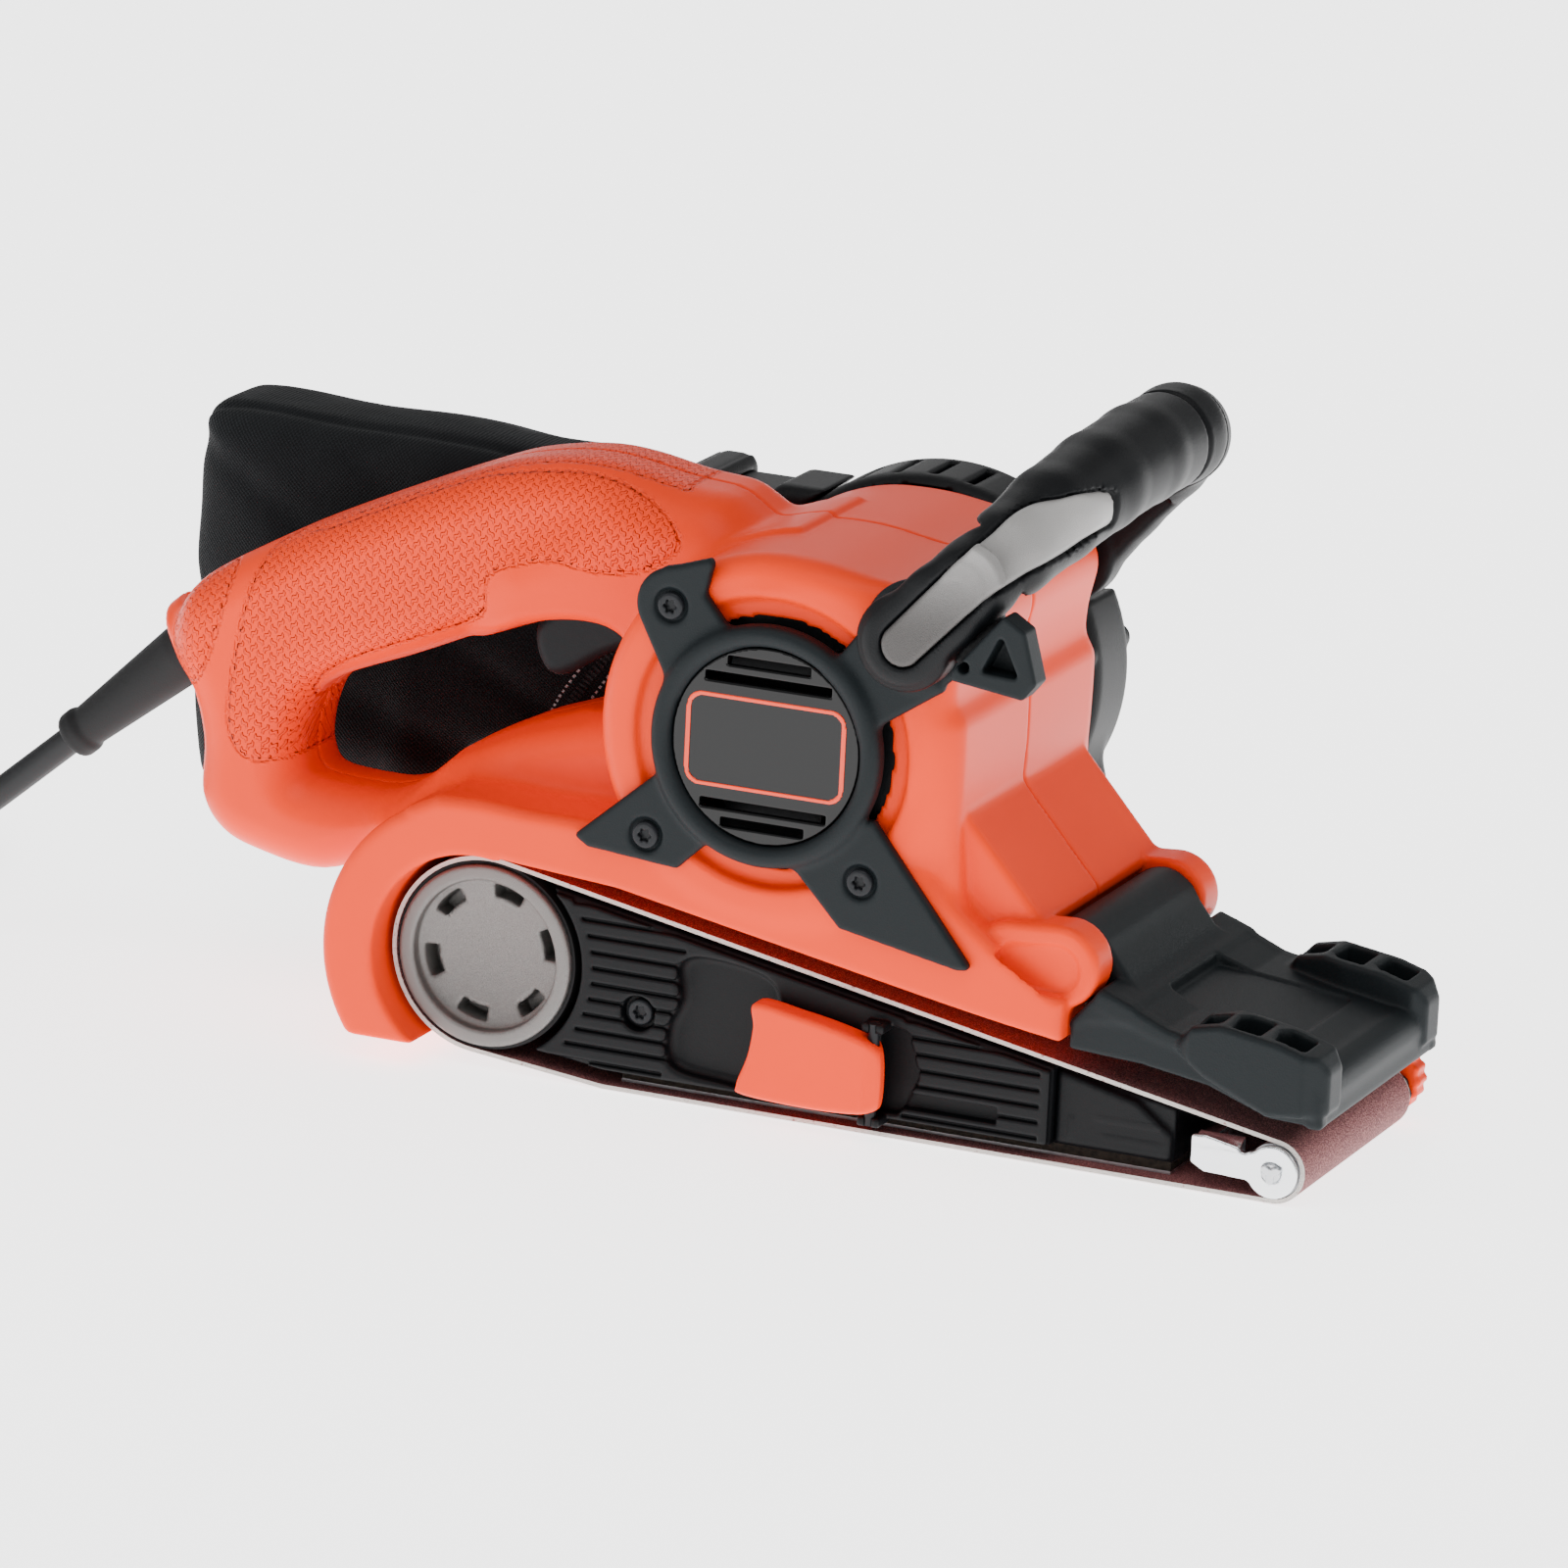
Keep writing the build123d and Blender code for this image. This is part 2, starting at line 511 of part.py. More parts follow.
# ------------------------------------------------------------------ motor and drive
def make_motor():
    """Universal motor: field, coils, armature, commutator, brushes and fan."""
    with BuildPart() as field:
        disc(MOTOR_X, MOTOR_Z, 37, -22, 22)
        disc(MOTOR_X, MOTOR_Z, 20.6, -23, 23, mode=Mode.SUBTRACT)
        for side in (-1, 1):
            block(side * 43 - 8, side * 43 + 8, -23, 23, MOTOR_Z - 60, MOTOR_Z + 60,
                  mode=Mode.SUBTRACT)
    save(field, "motor_field")
    with BuildPart() as coils:
        for low, high in ((-28, -22), (22, 25.5)):
            disc(MOTOR_X, MOTOR_Z, 33, low, high)
            disc(MOTOR_X, MOTOR_Z, 24, low - 1, high + 1, mode=Mode.SUBTRACT)
        block(-40, 40, -30, 30, MOTOR_Z - 7, MOTOR_Z + 7, mode=Mode.SUBTRACT)
    save(coils, "field_coils")
    with BuildPart() as shaft:
        disc(MOTOR_X, MOTOR_Z, SHAFT_R, -46.5, 46)
    save(shaft, "armature_shaft")
    with BuildPart() as core:
        disc(MOTOR_X, MOTOR_Z, 20.1, -21, 21)
        disc(MOTOR_X, MOTOR_Z, 16.5, -25, 24.5)
        with BuildSketch(side_plane(23)) as slots:
            with Locations((MOTOR_X, MOTOR_Z)):
                with PolarLocations(19.3, 12):
                    Rectangle(3.4, 1.6)
        extrude(to_extrude=slots.sketch, amount=46, mode=Mode.SUBTRACT)
        disc(MOTOR_X, MOTOR_Z, SHAFT_R, -30, 30, mode=Mode.SUBTRACT)
    save(core, "armature_core")
    with BuildPart() as commutator:
        disc(MOTOR_X, MOTOR_Z, 11, -38, -26)
        with BuildSketch(side_plane(-25)) as bars:
            with Locations((MOTOR_X, MOTOR_Z)):
                with PolarLocations(11, 24):
                    Rectangle(1.2, 0.5)
        extrude(to_extrude=bars.sketch, amount=14, mode=Mode.SUBTRACT)
        disc(MOTOR_X, MOTOR_Z, SHAFT_R, -39, -25, mode=Mode.SUBTRACT)
    save(commutator, "commutator")
    with BuildPart() as fan:
        disc(MOTOR_X, MOTOR_Z, 35, 26.2, 27.8)
        disc(MOTOR_X, MOTOR_Z, 9, 26.2, 35)
        with BuildSketch(side_plane(34)) as blades:
            with Locations((MOTOR_X, MOTOR_Z)):
                with PolarLocations(20.5, 11):
                    Rectangle(24, 1.6)
        extrude(to_extrude=blades.sketch, amount=6.5)
        disc(MOTOR_X, MOTOR_Z, SHAFT_R, 25, 36, mode=Mode.SUBTRACT)
    save(fan, "cooling_fan")
    with BuildPart() as holders:
        for side in (-1, 1):
            block(min(side * 13, side * 33), max(side * 13, side * 33), -36, -28.4,
                  MOTOR_Z - 5, MOTOR_Z + 5)
            block(min(side * 12, side * 31), max(side * 12, side * 31), -34.7, -29.7,
                  MOTOR_Z - 3.2, MOTOR_Z + 3.2, mode=Mode.SUBTRACT)
    save(holders, "brush_holders")
    with BuildPart() as brushes:
        for side in (-1, 1):
            block(min(side * 10, side * 25), max(side * 10, side * 25), -34.6, -29.8,
                  MOTOR_Z - 3.1, MOTOR_Z + 3.1)
        disc(MOTOR_X, MOTOR_Z, 11 + FIT, -37, -28, mode=Mode.SUBTRACT)
    save(brushes, "carbon_brushes")
    with BuildPart() as carrier:
        disc(MOTOR_X, MOTOR_Z, 43.6, -43.4, -40)
        disc(MOTOR_X, MOTOR_Z, 14, -46.5, -39.5)
        for side in (-1, 1):
            for rail in (-8.0, 5.0):
                block(min(side * 14, side * 34), max(side * 14, side * 34), -40, -28.4,
                      MOTOR_Z + rail, MOTOR_Z + rail + 3)
        with BuildSketch(side_plane(-38)) as windows:
            with Locations((MOTOR_X, MOTOR_Z)):
                with PolarLocations(28, 4, start_angle=45):
                    Circle(7)
        extrude(to_extrude=windows.sketch, amount=8, mode=Mode.SUBTRACT)
        disc(MOTOR_X, MOTOR_Z, 11, -47, -39, mode=Mode.SUBTRACT)
    save(carrier, "brush_carrier")


def make_bearing_plate():
    """Aluminium plate behind the fan that seats the armature and countershaft."""
    with BuildPart() as plate:
        disc(MOTOR_X, MOTOR_Z, 43.6, 39.5, 43)
        disc(MOTOR_X, MOTOR_Z, 14, 37, 44)
        disc(COUNTER_X, COUNTER_Z, 11, 39, 44)
        disc(MOTOR_X, MOTOR_Z, 11, 37, 45, mode=Mode.SUBTRACT)
        disc(COUNTER_X, COUNTER_Z, 8, 38, 45, mode=Mode.SUBTRACT)
        with BuildSketch(side_plane(45)) as vents:
            with Locations((MOTOR_X, MOTOR_Z)):
                with PolarLocations(29, 5, start_angle=-90, angular_range=200):
                    Circle(5)
        extrude(to_extrude=vents.sketch, amount=8, mode=Mode.SUBTRACT)
    save(plate, "bearing_plate")


def make_gears():
    """Motor pinion, reduction gear and countershaft."""
    for name, x, z, teeth, phase, low, high in (
        ("motor_pinion", MOTOR_X, MOTOR_Z, PINION_TEETH, DRUM_ANGLE, 46, 56),
        ("reduction_gear", COUNTER_X, COUNTER_Z, GEAR_TEETH,
         DRUM_ANGLE + pi + pi / GEAR_TEETH, 48, 55),
    ):
        with BuildPart() as gear:
            outline = [(x + px, z + pz) for px, pz in gear_outline(teeth, phase, 0.07)]
            slab(outline, low, high)
            if teeth == GEAR_TEETH:
                disc(x, z, SHAFT_R, low - 1, high + 1, mode=Mode.SUBTRACT)
        save(gear, name)
    with BuildPart() as shaft:
        disc(COUNTER_X, COUNTER_Z, SHAFT_R, 39, 70)
    save(shaft, "countershaft")


def make_pulleys():
    """Small pulley on the countershaft, large one on the drum shaft."""
    for name, x, z, teeth, bore in (
        ("drive_pulley", COUNTER_X, COUNTER_Z, SMALL_TEETH, SHAFT_R),
        ("driven_pulley", DRUM_X, DRUM_Z, BIG_TEETH, DRUM_SHAFT_R),
    ):
        rim = PULLEY_PITCH_R * teeth - 0.3
        with BuildPart() as pulley:
            disc(x, z, rim, 57, 66.2)
            with BuildSketch(side_plane(67)) as notches:
                with Locations((x, z)):
                    with PolarLocations(rim, teeth):
                        Circle(0.75)
            extrude(to_extrude=notches.sketch, amount=12, mode=Mode.SUBTRACT)
            disc(x, z, bore, 56, 68, mode=Mode.SUBTRACT)
        save(pulley, name)


def make_drive_belt():
    """Drive belt from the countershaft to the drum shaft, smooth where it meets teeth."""
    with BuildPart() as belt:
        small = PULLEY_PITCH_R * SMALL_TEETH
        big = PULLEY_PITCH_R * BIG_TEETH
        link(COUNTER_X, COUNTER_Z, small + 1.5, DRUM_X, DRUM_Z, big + 1.5, 57.6, 65.6)
        link(COUNTER_X, COUNTER_Z, small, DRUM_X, DRUM_Z, big, 57, 66, mode=Mode.SUBTRACT)
    save(belt, "drive_belt")


DUCT = (-66.0, -34.0, 50.0, 74.0, 110.0, 136.0)     # x, y and z limits


def make_drive_cover():
    """Black cover over the gears, the drive belt and the fan's outlet, far side."""
    with BuildPart() as cover:
        disc(MOTOR_X, MOTOR_Z, 49, SIDE, 73)
        link(MOTOR_X, MOTOR_Z, 40, DRUM_X, DRUM_Z, 28.5, SIDE, 73)
        link(MOTOR_X, MOTOR_Z, 35, 22, 66, 26, SIDE, 66)
        disc(MOTOR_X, MOTOR_Z, 46, SIDE - 1, 70, mode=Mode.SUBTRACT)
        link(MOTOR_X, MOTOR_Z, 30, DRUM_X, DRUM_Z, 26, SIDE - 1, 70, mode=Mode.SUBTRACT)
        disc(COUNTER_X, COUNTER_Z, 10.5, 66.7, 70)
        disc(COUNTER_X, COUNTER_Z, 8, 66, 70, mode=Mode.SUBTRACT)
        # walled pocket round the front handle's pivot
        with BuildSketch(side_plane(70)) as wall:
            with Locations((PIVOT_X, PIVOT_Z)):
                Circle(16)
            with Locations((MOTOR_X, MOTOR_Z)):
                Circle(49, mode=Mode.INTERSECT)
        extrude(to_extrude=wall.sketch, amount=70 - SIDE)
        disc(PIVOT_X, PIVOT_Z, 13.5, SIDE - 1, 75, mode=Mode.SUBTRACT)
        # exhaust slots over the top
        for turn in (-36, -24, -12, 12, 24):
            x = MOTOR_X + 47 * sin(radians(turn))
            z = MOTOR_Z + 47 * cos(radians(turn))
            disc(x, z, 2.0, 52, 66, mode=Mode.SUBTRACT)
        block(DUCT[0], DUCT[1], DUCT[2], DUCT[3], DUCT[4], DUCT[5], mode=Mode.SUBTRACT)
        for x, z in FAR_SCREWS:
            disc(x, z, 4.2, SIDE, 73)
            disc(x, z, 1.9, SIDE - 1, 74, mode=Mode.SUBTRACT)
    save(cover, "drive_cover")


def make_duct():
    """Dust outlet that the bag's collar slides onto."""
    with BuildPart() as duct:
        block(*DUCT)
        block(DUCT[0] - 1, DUCT[1] + 1, DUCT[2] + 2.5, DUCT[3] - 2.5, DUCT[4] + 2.5,
              DUCT[5] - 2.5, mode=Mode.SUBTRACT)
    save(duct, "dust_duct")


# ------------------------------------------------------------------ switch and cord
def make_switch():
    """Switch block over the trigger, the trigger with its pin, and the lock button."""
    with BuildPart() as switch:
        block(-84, -58, -9, 6, 124.5, 139)
        block(-74, -70, -3, 3, 121, 124.5)
    save(switch, "switch")
    with BuildPart() as trigger:
        slab([(-81.5, 108), (-81, 100), (-77.8, 96), (-72.5, 97), (-65, 102), (-56, 107),
              (-47.5, 109.5), (-46.8, 116), (-60, 116.5), (-78, 113)], -9, 9)
        disc(TRIGGER_X, TRIGGER_Z, 1.6 + FIT, -10, 10, mode=Mode.SUBTRACT)
    save(trigger, "trigger")
    with BuildPart() as pin:
        disc(TRIGGER_X, TRIGGER_Z, 1.6, -15, 15)
    save(pin, "trigger_pin")
    with BuildPart() as button:
        disc(-70, 131, 4.6 - FIT, 13, 22)
        disc(-70, 131, 2.5, 10, 13)
    save(button, "lock_button")


def make_cord_clamp():
    """Plate that grips the lead inside the handle."""
    with BuildPart() as clamp:
        block(-158, -148, -10, 10, 95.5, 98.5)
    save(clamp, "cord_clamp")


def make_strain_relief():
    """Tapered rubber sleeve with a collar at its tip."""
    length = (RELIEF_END - RELIEF_TOP).length
    with BuildPart() as relief:
        with BuildSketch(RELIEF_PLANE.offset(6.5)) as thick:
            Circle(7.6)
        with BuildSketch(RELIEF_PLANE.offset(length - 3)) as thin:
            Circle(5.4)
        loft(sections=[thick.sketch, thin.sketch])
        with BuildSketch(RELIEF_PLANE.offset(-12)) as stub:
            Circle(5.0 - FIT)
        extrude(to_extrude=stub.sketch, amount=18.5)
        with BuildSketch(RELIEF_PLANE.offset(length - 3)) as tip:
            Circle(6.4)
        extrude(to_extrude=tip.sketch, amount=3)
    save(relief, "strain_relief")


# route of the lead, from the strain relief to the coil on the floor
FLOOR = CORD_R + 0.05
LEAD_ROUTE = [
    (-214.6, 0, 57.8), (-236.6, 0, 38.7), (-262, -4, 17), (-292, -9, FLOOR),
    (-324, -12.5, FLOOR),
]
COIL_X, COIL_Y = -324.0, 43.5
COIL_IN, COIL_OUT, COIL_HIGH = 37.2, 59.8, 15.0
TAIL_ROUTE = [
    (-379, 28, FLOOR), (-388.4, 44, FLOOR), (-388.4, 64, FLOOR), (-383, 92, FLOOR),
]


def corner_radii(route):
    """Largest tangent arc that each corner's two runs allow."""
    radii = []
    for before, here, after in zip(route, route[1:], route[2:]):
        into = Vector(*here) - Vector(*before)
        out = Vector(*after) - Vector(*here)
        turn = radians(into.get_angle(out))
        radii.append(0.45 * min(into.length, out.length) / tan(turn / 2))
    return radii


def make_cord():
    """The lead: a run to the floor, a tied coil, and a short tail to the plug."""
    coiled = CORD_LENGTH
    for name, route in (("cord_lead", LEAD_ROUTE), ("cord_tail", TAIL_ROUTE)):
        radii = corner_radii(route)
        first = Vector(*route[1]) - Vector(*route[0])
        with BuildPart() as lead:
            with BuildLine() as path:
                FilletPolyline(*route, radius=radii)
            with BuildSketch(Plane(route[0], z_dir=first)) as section:
                Circle(CORD_R)
            sweep(sections=section.sketch, path=path.wires()[0])
        length = path.wires()[0].length
        coiled -= length
        ratio = lead.part.volume / (pi * CORD_R**2 * length)
        print(name, "radii", [round(r) for r in radii], "length", round(length),
              "volume ratio", round(ratio, 4))
        save(lead, name)
    middle = (COIL_IN + COIL_OUT) / 2
    print("turns in the coil", round(coiled / (2 * pi * middle), 2))
    with BuildPart() as coil:
        with Locations((COIL_X, COIL_Y, COIL_HIGH / 2)):
            Cylinder(COIL_OUT, COIL_HIGH)
            Cylinder(COIL_IN, COIL_HIGH, mode=Mode.SUBTRACT)
    save(coil, "cord_coil")
    with BuildPart() as tie:
        with Locations((COIL_X + middle, COIL_Y, COIL_HIGH / 2 + 0.8)):
            Box(COIL_OUT - COIL_IN + 3, 8, COIL_HIGH + 1.6)
        with Locations((COIL_X, COIL_Y, COIL_HIGH / 2)):
            Cylinder(COIL_OUT + FIT, COIL_HIGH + 2 * FIT, mode=Mode.SUBTRACT)
    save(tie, "coil_tie")


def make_plug():
    """Two-blade plug that lies on the floor at the tail's end."""
    end = Vector(*TAIL_ROUTE[-1])
    heading = end - Vector(*TAIL_ROUTE[-2])
    plane = Plane(origin=TAIL_ROUTE[-1], x_dir=(-heading.Y, heading.X, 0), z_dir=heading)
    with BuildPart() as body:
        with BuildSketch(plane) as neck:
            Circle(CORD_R)
        with BuildSketch(plane.offset(15)) as waist:
            with Locations((0, 1.3)):
                Rectangle(13, 10)
        loft(sections=[neck.sketch, waist.sketch])
        with BuildSketch(plane.offset(15)) as grip:
            with Locations((0, 3.8)):
                RectangleRounded(24, 15, 4)
        extrude(to_extrude=grip.sketch, amount=20)
    save(body, "plug_body")
    with BuildPart() as blades:
        with BuildSketch(plane.offset(35)) as pair:
            for side in (-6.35, 6.35):
                with Locations((side, 3.8)):
                    Rectangle(1.5, 6.3)
        extrude(to_extrude=pair.sketch, amount=17)
    save(blades, "plug_blades")


# ------------------------------------------------------------------ front handle
ARM_IN, ARM_OUT = 50.0, 61.0          # inner and outer faces of the handle's arms


ARM_PLANE = Plane((PIVOT_X, 0, PIVOT_Z), x_dir=(30, 0, 37), z_dir=(37, 0, -30))


def inlay_layer(proud):
    """The inlay: a band 1.9 thick that follows the near arm and its sloping elbow."""
    with BuildPart() as layer:
        with BuildSketch(ARM_PLANE) as band:
            Polygon((0, ARM_OUT + 0.4 + proud), (22.2, ARM_OUT + 0.4 + proud),
                    (40.3 + proud, 50.4 + proud), (51 + proud, 32.9 + proud), (49, 32.2),
                    (38.9, 49), (21.4, ARM_OUT - 1.5), (0, ARM_OUT - 1.5), align=None)
        extrude(to_extrude=band.sketch, amount=30, both=True)
        with BuildSketch(side_plane(-30)) as shape:
            with Locations((42, 137)):
                Circle(5.6)
            with Locations((64, 164)):
                Circle(5.6)
            make_hull()
        extrude(to_extrude=shape.sketch, amount=40, mode=Mode.INTERSECT)
    return layer.part


def make_front_handle():
    """Bail handle: two arms on the pivots, a round crossbar, and the near inlay."""
    with BuildPart() as handle:
        for low, high in ((-ARM_OUT, -ARM_IN), (ARM_IN, ARM_OUT)):
            link(PIVOT_X, PIVOT_Z, 12, BAR_X, BAR_Z, BAR_R, low, high)
        disc(BAR_X, BAR_Z, BAR_R, -ARM_OUT, ARM_OUT)
        for y in (31, 44):
            disc(BAR_X, BAR_Z, BAR_R + 1, y, y + 2.2, mode=Mode.SUBTRACT)
            disc(BAR_X, BAR_Z, BAR_R - 1, y, y + 2.2)
        # lug that carries the latch
        slab([(49, 129), (53, 124), (60, 127), (62, 142)], -52.2, -ARM_IN)
        disc(PIVOT_X, PIVOT_Z, 4 + FIT, -ARM_OUT - 1, ARM_OUT + 1, mode=Mode.SUBTRACT)
        disc(LATCH_X, LATCH_Z, 1.5, -60, -ARM_IN)
        # the elbows slope in from the arms to the crossbar, the near one more gently
        with BuildSketch(ARM_PLANE) as corners:
            Polygon((22, ARM_OUT), (40, 50), (50.5, 32.6), (57.7, 9), (63, 9), (63, 63),
                    (22, 63), align=None)
            Polygon((18, -ARM_OUT), (62, -26), (62, -63), (18, -63), align=None)
        extrude(to_extrude=corners.sketch, amount=30, both=True, mode=Mode.SUBTRACT)
        add(inlay_layer(0.5), mode=Mode.SUBTRACT)
    save(handle, "front_handle")
    with BuildPart() as inlay:
        add(inlay_layer(0.0))
    save(inlay, "handle_inlay")
    with BuildPart() as pivots:
        for low, high in ((-ARM_OUT + 1.6, -38), (38, ARM_OUT - 1)):
            disc(PIVOT_X, PIVOT_Z, 4, low, high)
    save(pivots, "handle_pivots")


def make_latch():
    """Hollow triangular thumb latch under the near arm."""
    with BuildPart() as latch:
        slab([(51.8, 128), (65, 143.2), (70.5, 139.5), (74, 127), (70.5, 122.5),
              (51.5, 125.3)], -60.4, -52.5, 0.8)
        slab([(60, 128.5), (64.3, 138), (69, 128)], -61, -54, 0.8, mode=Mode.SUBTRACT)
        disc(LATCH_X, LATCH_Z, 1.5 + FIT, -61, -52, mode=Mode.SUBTRACT)
    save(latch, "handle_latch")


# ------------------------------------------------------------------ nose cover
def make_nose_cover():
    """Flip-up cover over the front of the belt, on a hinge pin between the ears."""
    pods = []
    for low, high in ((-45, -28), (28, 45)):
        with BuildPart() as pod:
            slab([(110, 36), (113.5, 43), (121, 44.2), (146, 39.2), (148.6, 36),
                  (148.9, 25), (134, 23.4), (118, 31)], low, high, 1)
            slab([(112, 20), (117, 31), (134, 26.5), (145, 25.5), (143, 28),
                  (134, 33), (118, 36.5), (100, 40)],
                 max(low, -41.4), min(high, 41.4), mode=Mode.SUBTRACT)
            for x_low, x_high in ((114.5, 121), (124, 132), (135, 143.5)):
                block(x_low, x_high, low + 3, high - 3, 38, 46, mode=Mode.SUBTRACT)
        pods.append(pod.part)
    with BuildPart() as cover:
        disc(HINGE_X, HINGE_Z, 8.8, -30, 30)
        slab([(78, 60), (84, 57.5), (92, 47), (92, 42), (85, 46), (78, 52)], -30, 30)
        slab([(90, 47.5), (104, 41.2), (136, 34.5), (144.5, 31), (147.5, 22), (144.6, 21.5),
              (142.5, 27), (134, 31), (103, 37.8), (90, 42.5)], -41.5, 41.5)
        for low, high in ((-41.5, -38.6), (38.6, 41.5)):
            slab([(80.6, 31.8), (80.6, 36.5), (90, 44), (90, 46), (104, 40), (136, 33),
                  (144, 30), (147.5, 22), (133.6, 22.5), (117.5, 28.6)], low, high)
        for pod in pods:
            add(pod)
        disc(HINGE_X, HINGE_Z, 2.5 + FIT, -31, 31, mode=Mode.SUBTRACT)
    save(cover, "nose_cover")
    with BuildPart() as pin:
        disc(HINGE_X, HINGE_Z, 2.5, -40.9, 41.8)
    save(pin, "nose_hinge_pin")


# ------------------------------------------------------------------ dust bag
def make_bag():
    """Cloth dust bag beside the handle and the stiff collar that holds it."""
    x_low, x_high, y_low, y_high, z_low, z_high = DUCT
    with BuildPart() as collar:
        block(x_low - 4, x_low + 8, y_low - 4, y_high + 4, z_low - 4, z_high + 4)
        block(x_low - 5, x_low + 9, y_low - FIT, y_high + FIT, z_low - FIT, z_high + FIT,
              mode=Mode.SUBTRACT)
    save(collar, "bag_collar")
    with BuildPart() as bag:
        slab([(x_low - 4, 139), (-150, 143), (-203, 143), (-205, 34), (-128, 30),
              (-124, 72), (-92, 76), (-84, 96), (x_low - 4, 106)], 31, 80, 3)
        fillet(bag.edges().filter_by(Axis.Z).sort_by(Axis.X)[:2], 8)
        # loose front part that hangs between the handle and the drive cover
        slab([(-140, 36), (-132, 36), (-124, 51), (-116, 58.5), (-108, 64), (-99, 69.3),
              (-90, 72.8), (-73, 73.2), (-67, 88), (-71.5, 104), (-90, 108), (-140, 108)],
             31, 46.5, 2)
    save(bag, "dust_bag")


make_case()
make_ring_cover()
make_badge()
make_screws()
make_belt_frame()
make_side_cover()
make_platen()
make_sanding_belt()
make_drum()
make_carrier()
make_bearings()
make_roller()
make_tracking_knob()
make_tension_lever()
make_motor()
make_bearing_plate()
make_gears()
make_pulleys()
make_drive_belt()
make_drive_cover()
make_duct()
make_switch()
make_cord_clamp()
make_strain_relief()
make_cord()
make_plug()
make_front_handle()
make_latch()
make_nose_cover()
make_bag()
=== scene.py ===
"""Looks of a handheld belt sander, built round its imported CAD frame.

Shapes are worked out in millimetres as distance fields, meshed here, and written
to Blender in metres.  The frame is the CAD's: +X to the nose, +Z up, -Y the open
side where the sanding belt comes off, origin on the sole under the motor.
"""

from itertools import product
from math import atan2, cos, hypot, pi, radians, sin, tan

import bpy
import numpy as np
from mathutils import Matrix, Vector


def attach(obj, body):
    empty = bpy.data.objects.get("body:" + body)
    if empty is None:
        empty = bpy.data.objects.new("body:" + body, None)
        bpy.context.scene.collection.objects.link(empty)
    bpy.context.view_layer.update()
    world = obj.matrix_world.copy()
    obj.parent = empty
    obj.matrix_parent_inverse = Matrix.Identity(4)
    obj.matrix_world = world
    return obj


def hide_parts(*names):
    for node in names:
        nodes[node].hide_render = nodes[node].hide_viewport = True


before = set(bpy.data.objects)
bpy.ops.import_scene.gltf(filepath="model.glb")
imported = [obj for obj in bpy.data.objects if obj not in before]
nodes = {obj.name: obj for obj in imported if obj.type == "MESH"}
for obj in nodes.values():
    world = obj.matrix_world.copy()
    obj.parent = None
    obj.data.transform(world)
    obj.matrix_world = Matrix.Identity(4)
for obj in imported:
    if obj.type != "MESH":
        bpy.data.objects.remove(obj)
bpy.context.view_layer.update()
MM = 0.001

# ------------------------------------------------------------------ driving sizes
MOTOR = (0.0, 98.4)
DRUM = (-78.6, 29.5)
ROLLER = (134.7, 8.2)
PIVOT = (38.0, 132.0)
BAR = (68.0, 169.0)
HINGE = (77.0, 52.0)
LEVER_PIN = (29.5, -42.2)
BELT_R, NOSE_R, BELT_THICK = 25.8, 8.2, 1.1
SIDE = 47.0
CORD_R = 3.75
COVER_SCREWS = [(-27.3, 130.3), (-31.3, 71.1), (26.6, 67.7)]
FAR_SCREWS = [(-48, 66), (-104, 45), (-54.5, 10.5), (24, 58.5), (43.8, 106.1)]

SPAN = hypot(ROLLER[0] - DRUM[0], ROLLER[1] - DRUM[1])
SLOPE = atan2(ROLLER[1] - DRUM[1], ROLLER[0] - DRUM[0]) - np.arcsin((BELT_R - NOSE_R) / SPAN)


def belt_top(x, below=0.0):
    """Height of the upper belt run's outside at x, or so far below it."""
    touch_x = DRUM[0] - BELT_R * sin(SLOPE)
    touch_z = DRUM[1] + BELT_R * cos(SLOPE)
    return touch_z + tan(SLOPE) * (x - touch_x) - below / cos(SLOPE)


# ------------------------------------------------------------------ camera, light, floor
def make_camera():
    """A long lens in front of the open side, a little above and towards the nose."""
    data = bpy.data.cameras.new("camera")
    data.sensor_width = 36.0
    data.lens = 236.1
    data.clip_start, data.clip_end = 0.1, 100.0
    camera = bpy.data.objects.new("camera", data)
    bpy.context.scene.collection.objects.link(camera)
    right = Vector((0.91815, 0.39331, 0.04814))
    up = Vector((-0.14560, 0.22190, 0.96414))
    back = right.cross(up)
    turn = Matrix((right, up, back)).transposed().to_4x4()
    camera.matrix_world = Matrix.Translation((0.93787, -2.30790, 0.75022)) @ turn
    bpy.context.scene.camera = camera


def make_light():
    """Large soft lamps all round, so that shadows stay faint."""
    for name, place, size, power in (
        ("key", (0.1, -1.4, 2.3), 1.8, 22.0),
        ("fill", (-1.9, -1.5, 1.2), 1.6, 9.0),
        ("rim", (1.6, 0.9, 1.5), 1.4, 9.0),
        ("back", (-1.0, 1.9, 1.7), 1.8, 10.0),
    ):
        data = bpy.data.lights.new(name, "AREA")
        data.shape = "DISK"
        data.size = size
        data.energy = power
        lamp = bpy.data.objects.new(name, data)
        lamp.location = place
        aim = Vector((0.0, 0.0, 0.08)) - Vector(place)
        lamp.rotation_euler = aim.to_track_quat("-Z", "Y").to_euler()
        bpy.context.scene.collection.objects.link(lamp)
    world = bpy.data.worlds.new("studio")
    world.use_nodes = True
    world.node_tree.nodes["Background"].inputs["Color"].default_value = (1, 1, 1, 1)
    world.node_tree.nodes["Background"].inputs["Strength"].default_value = 0.50
    bpy.context.scene.world = world


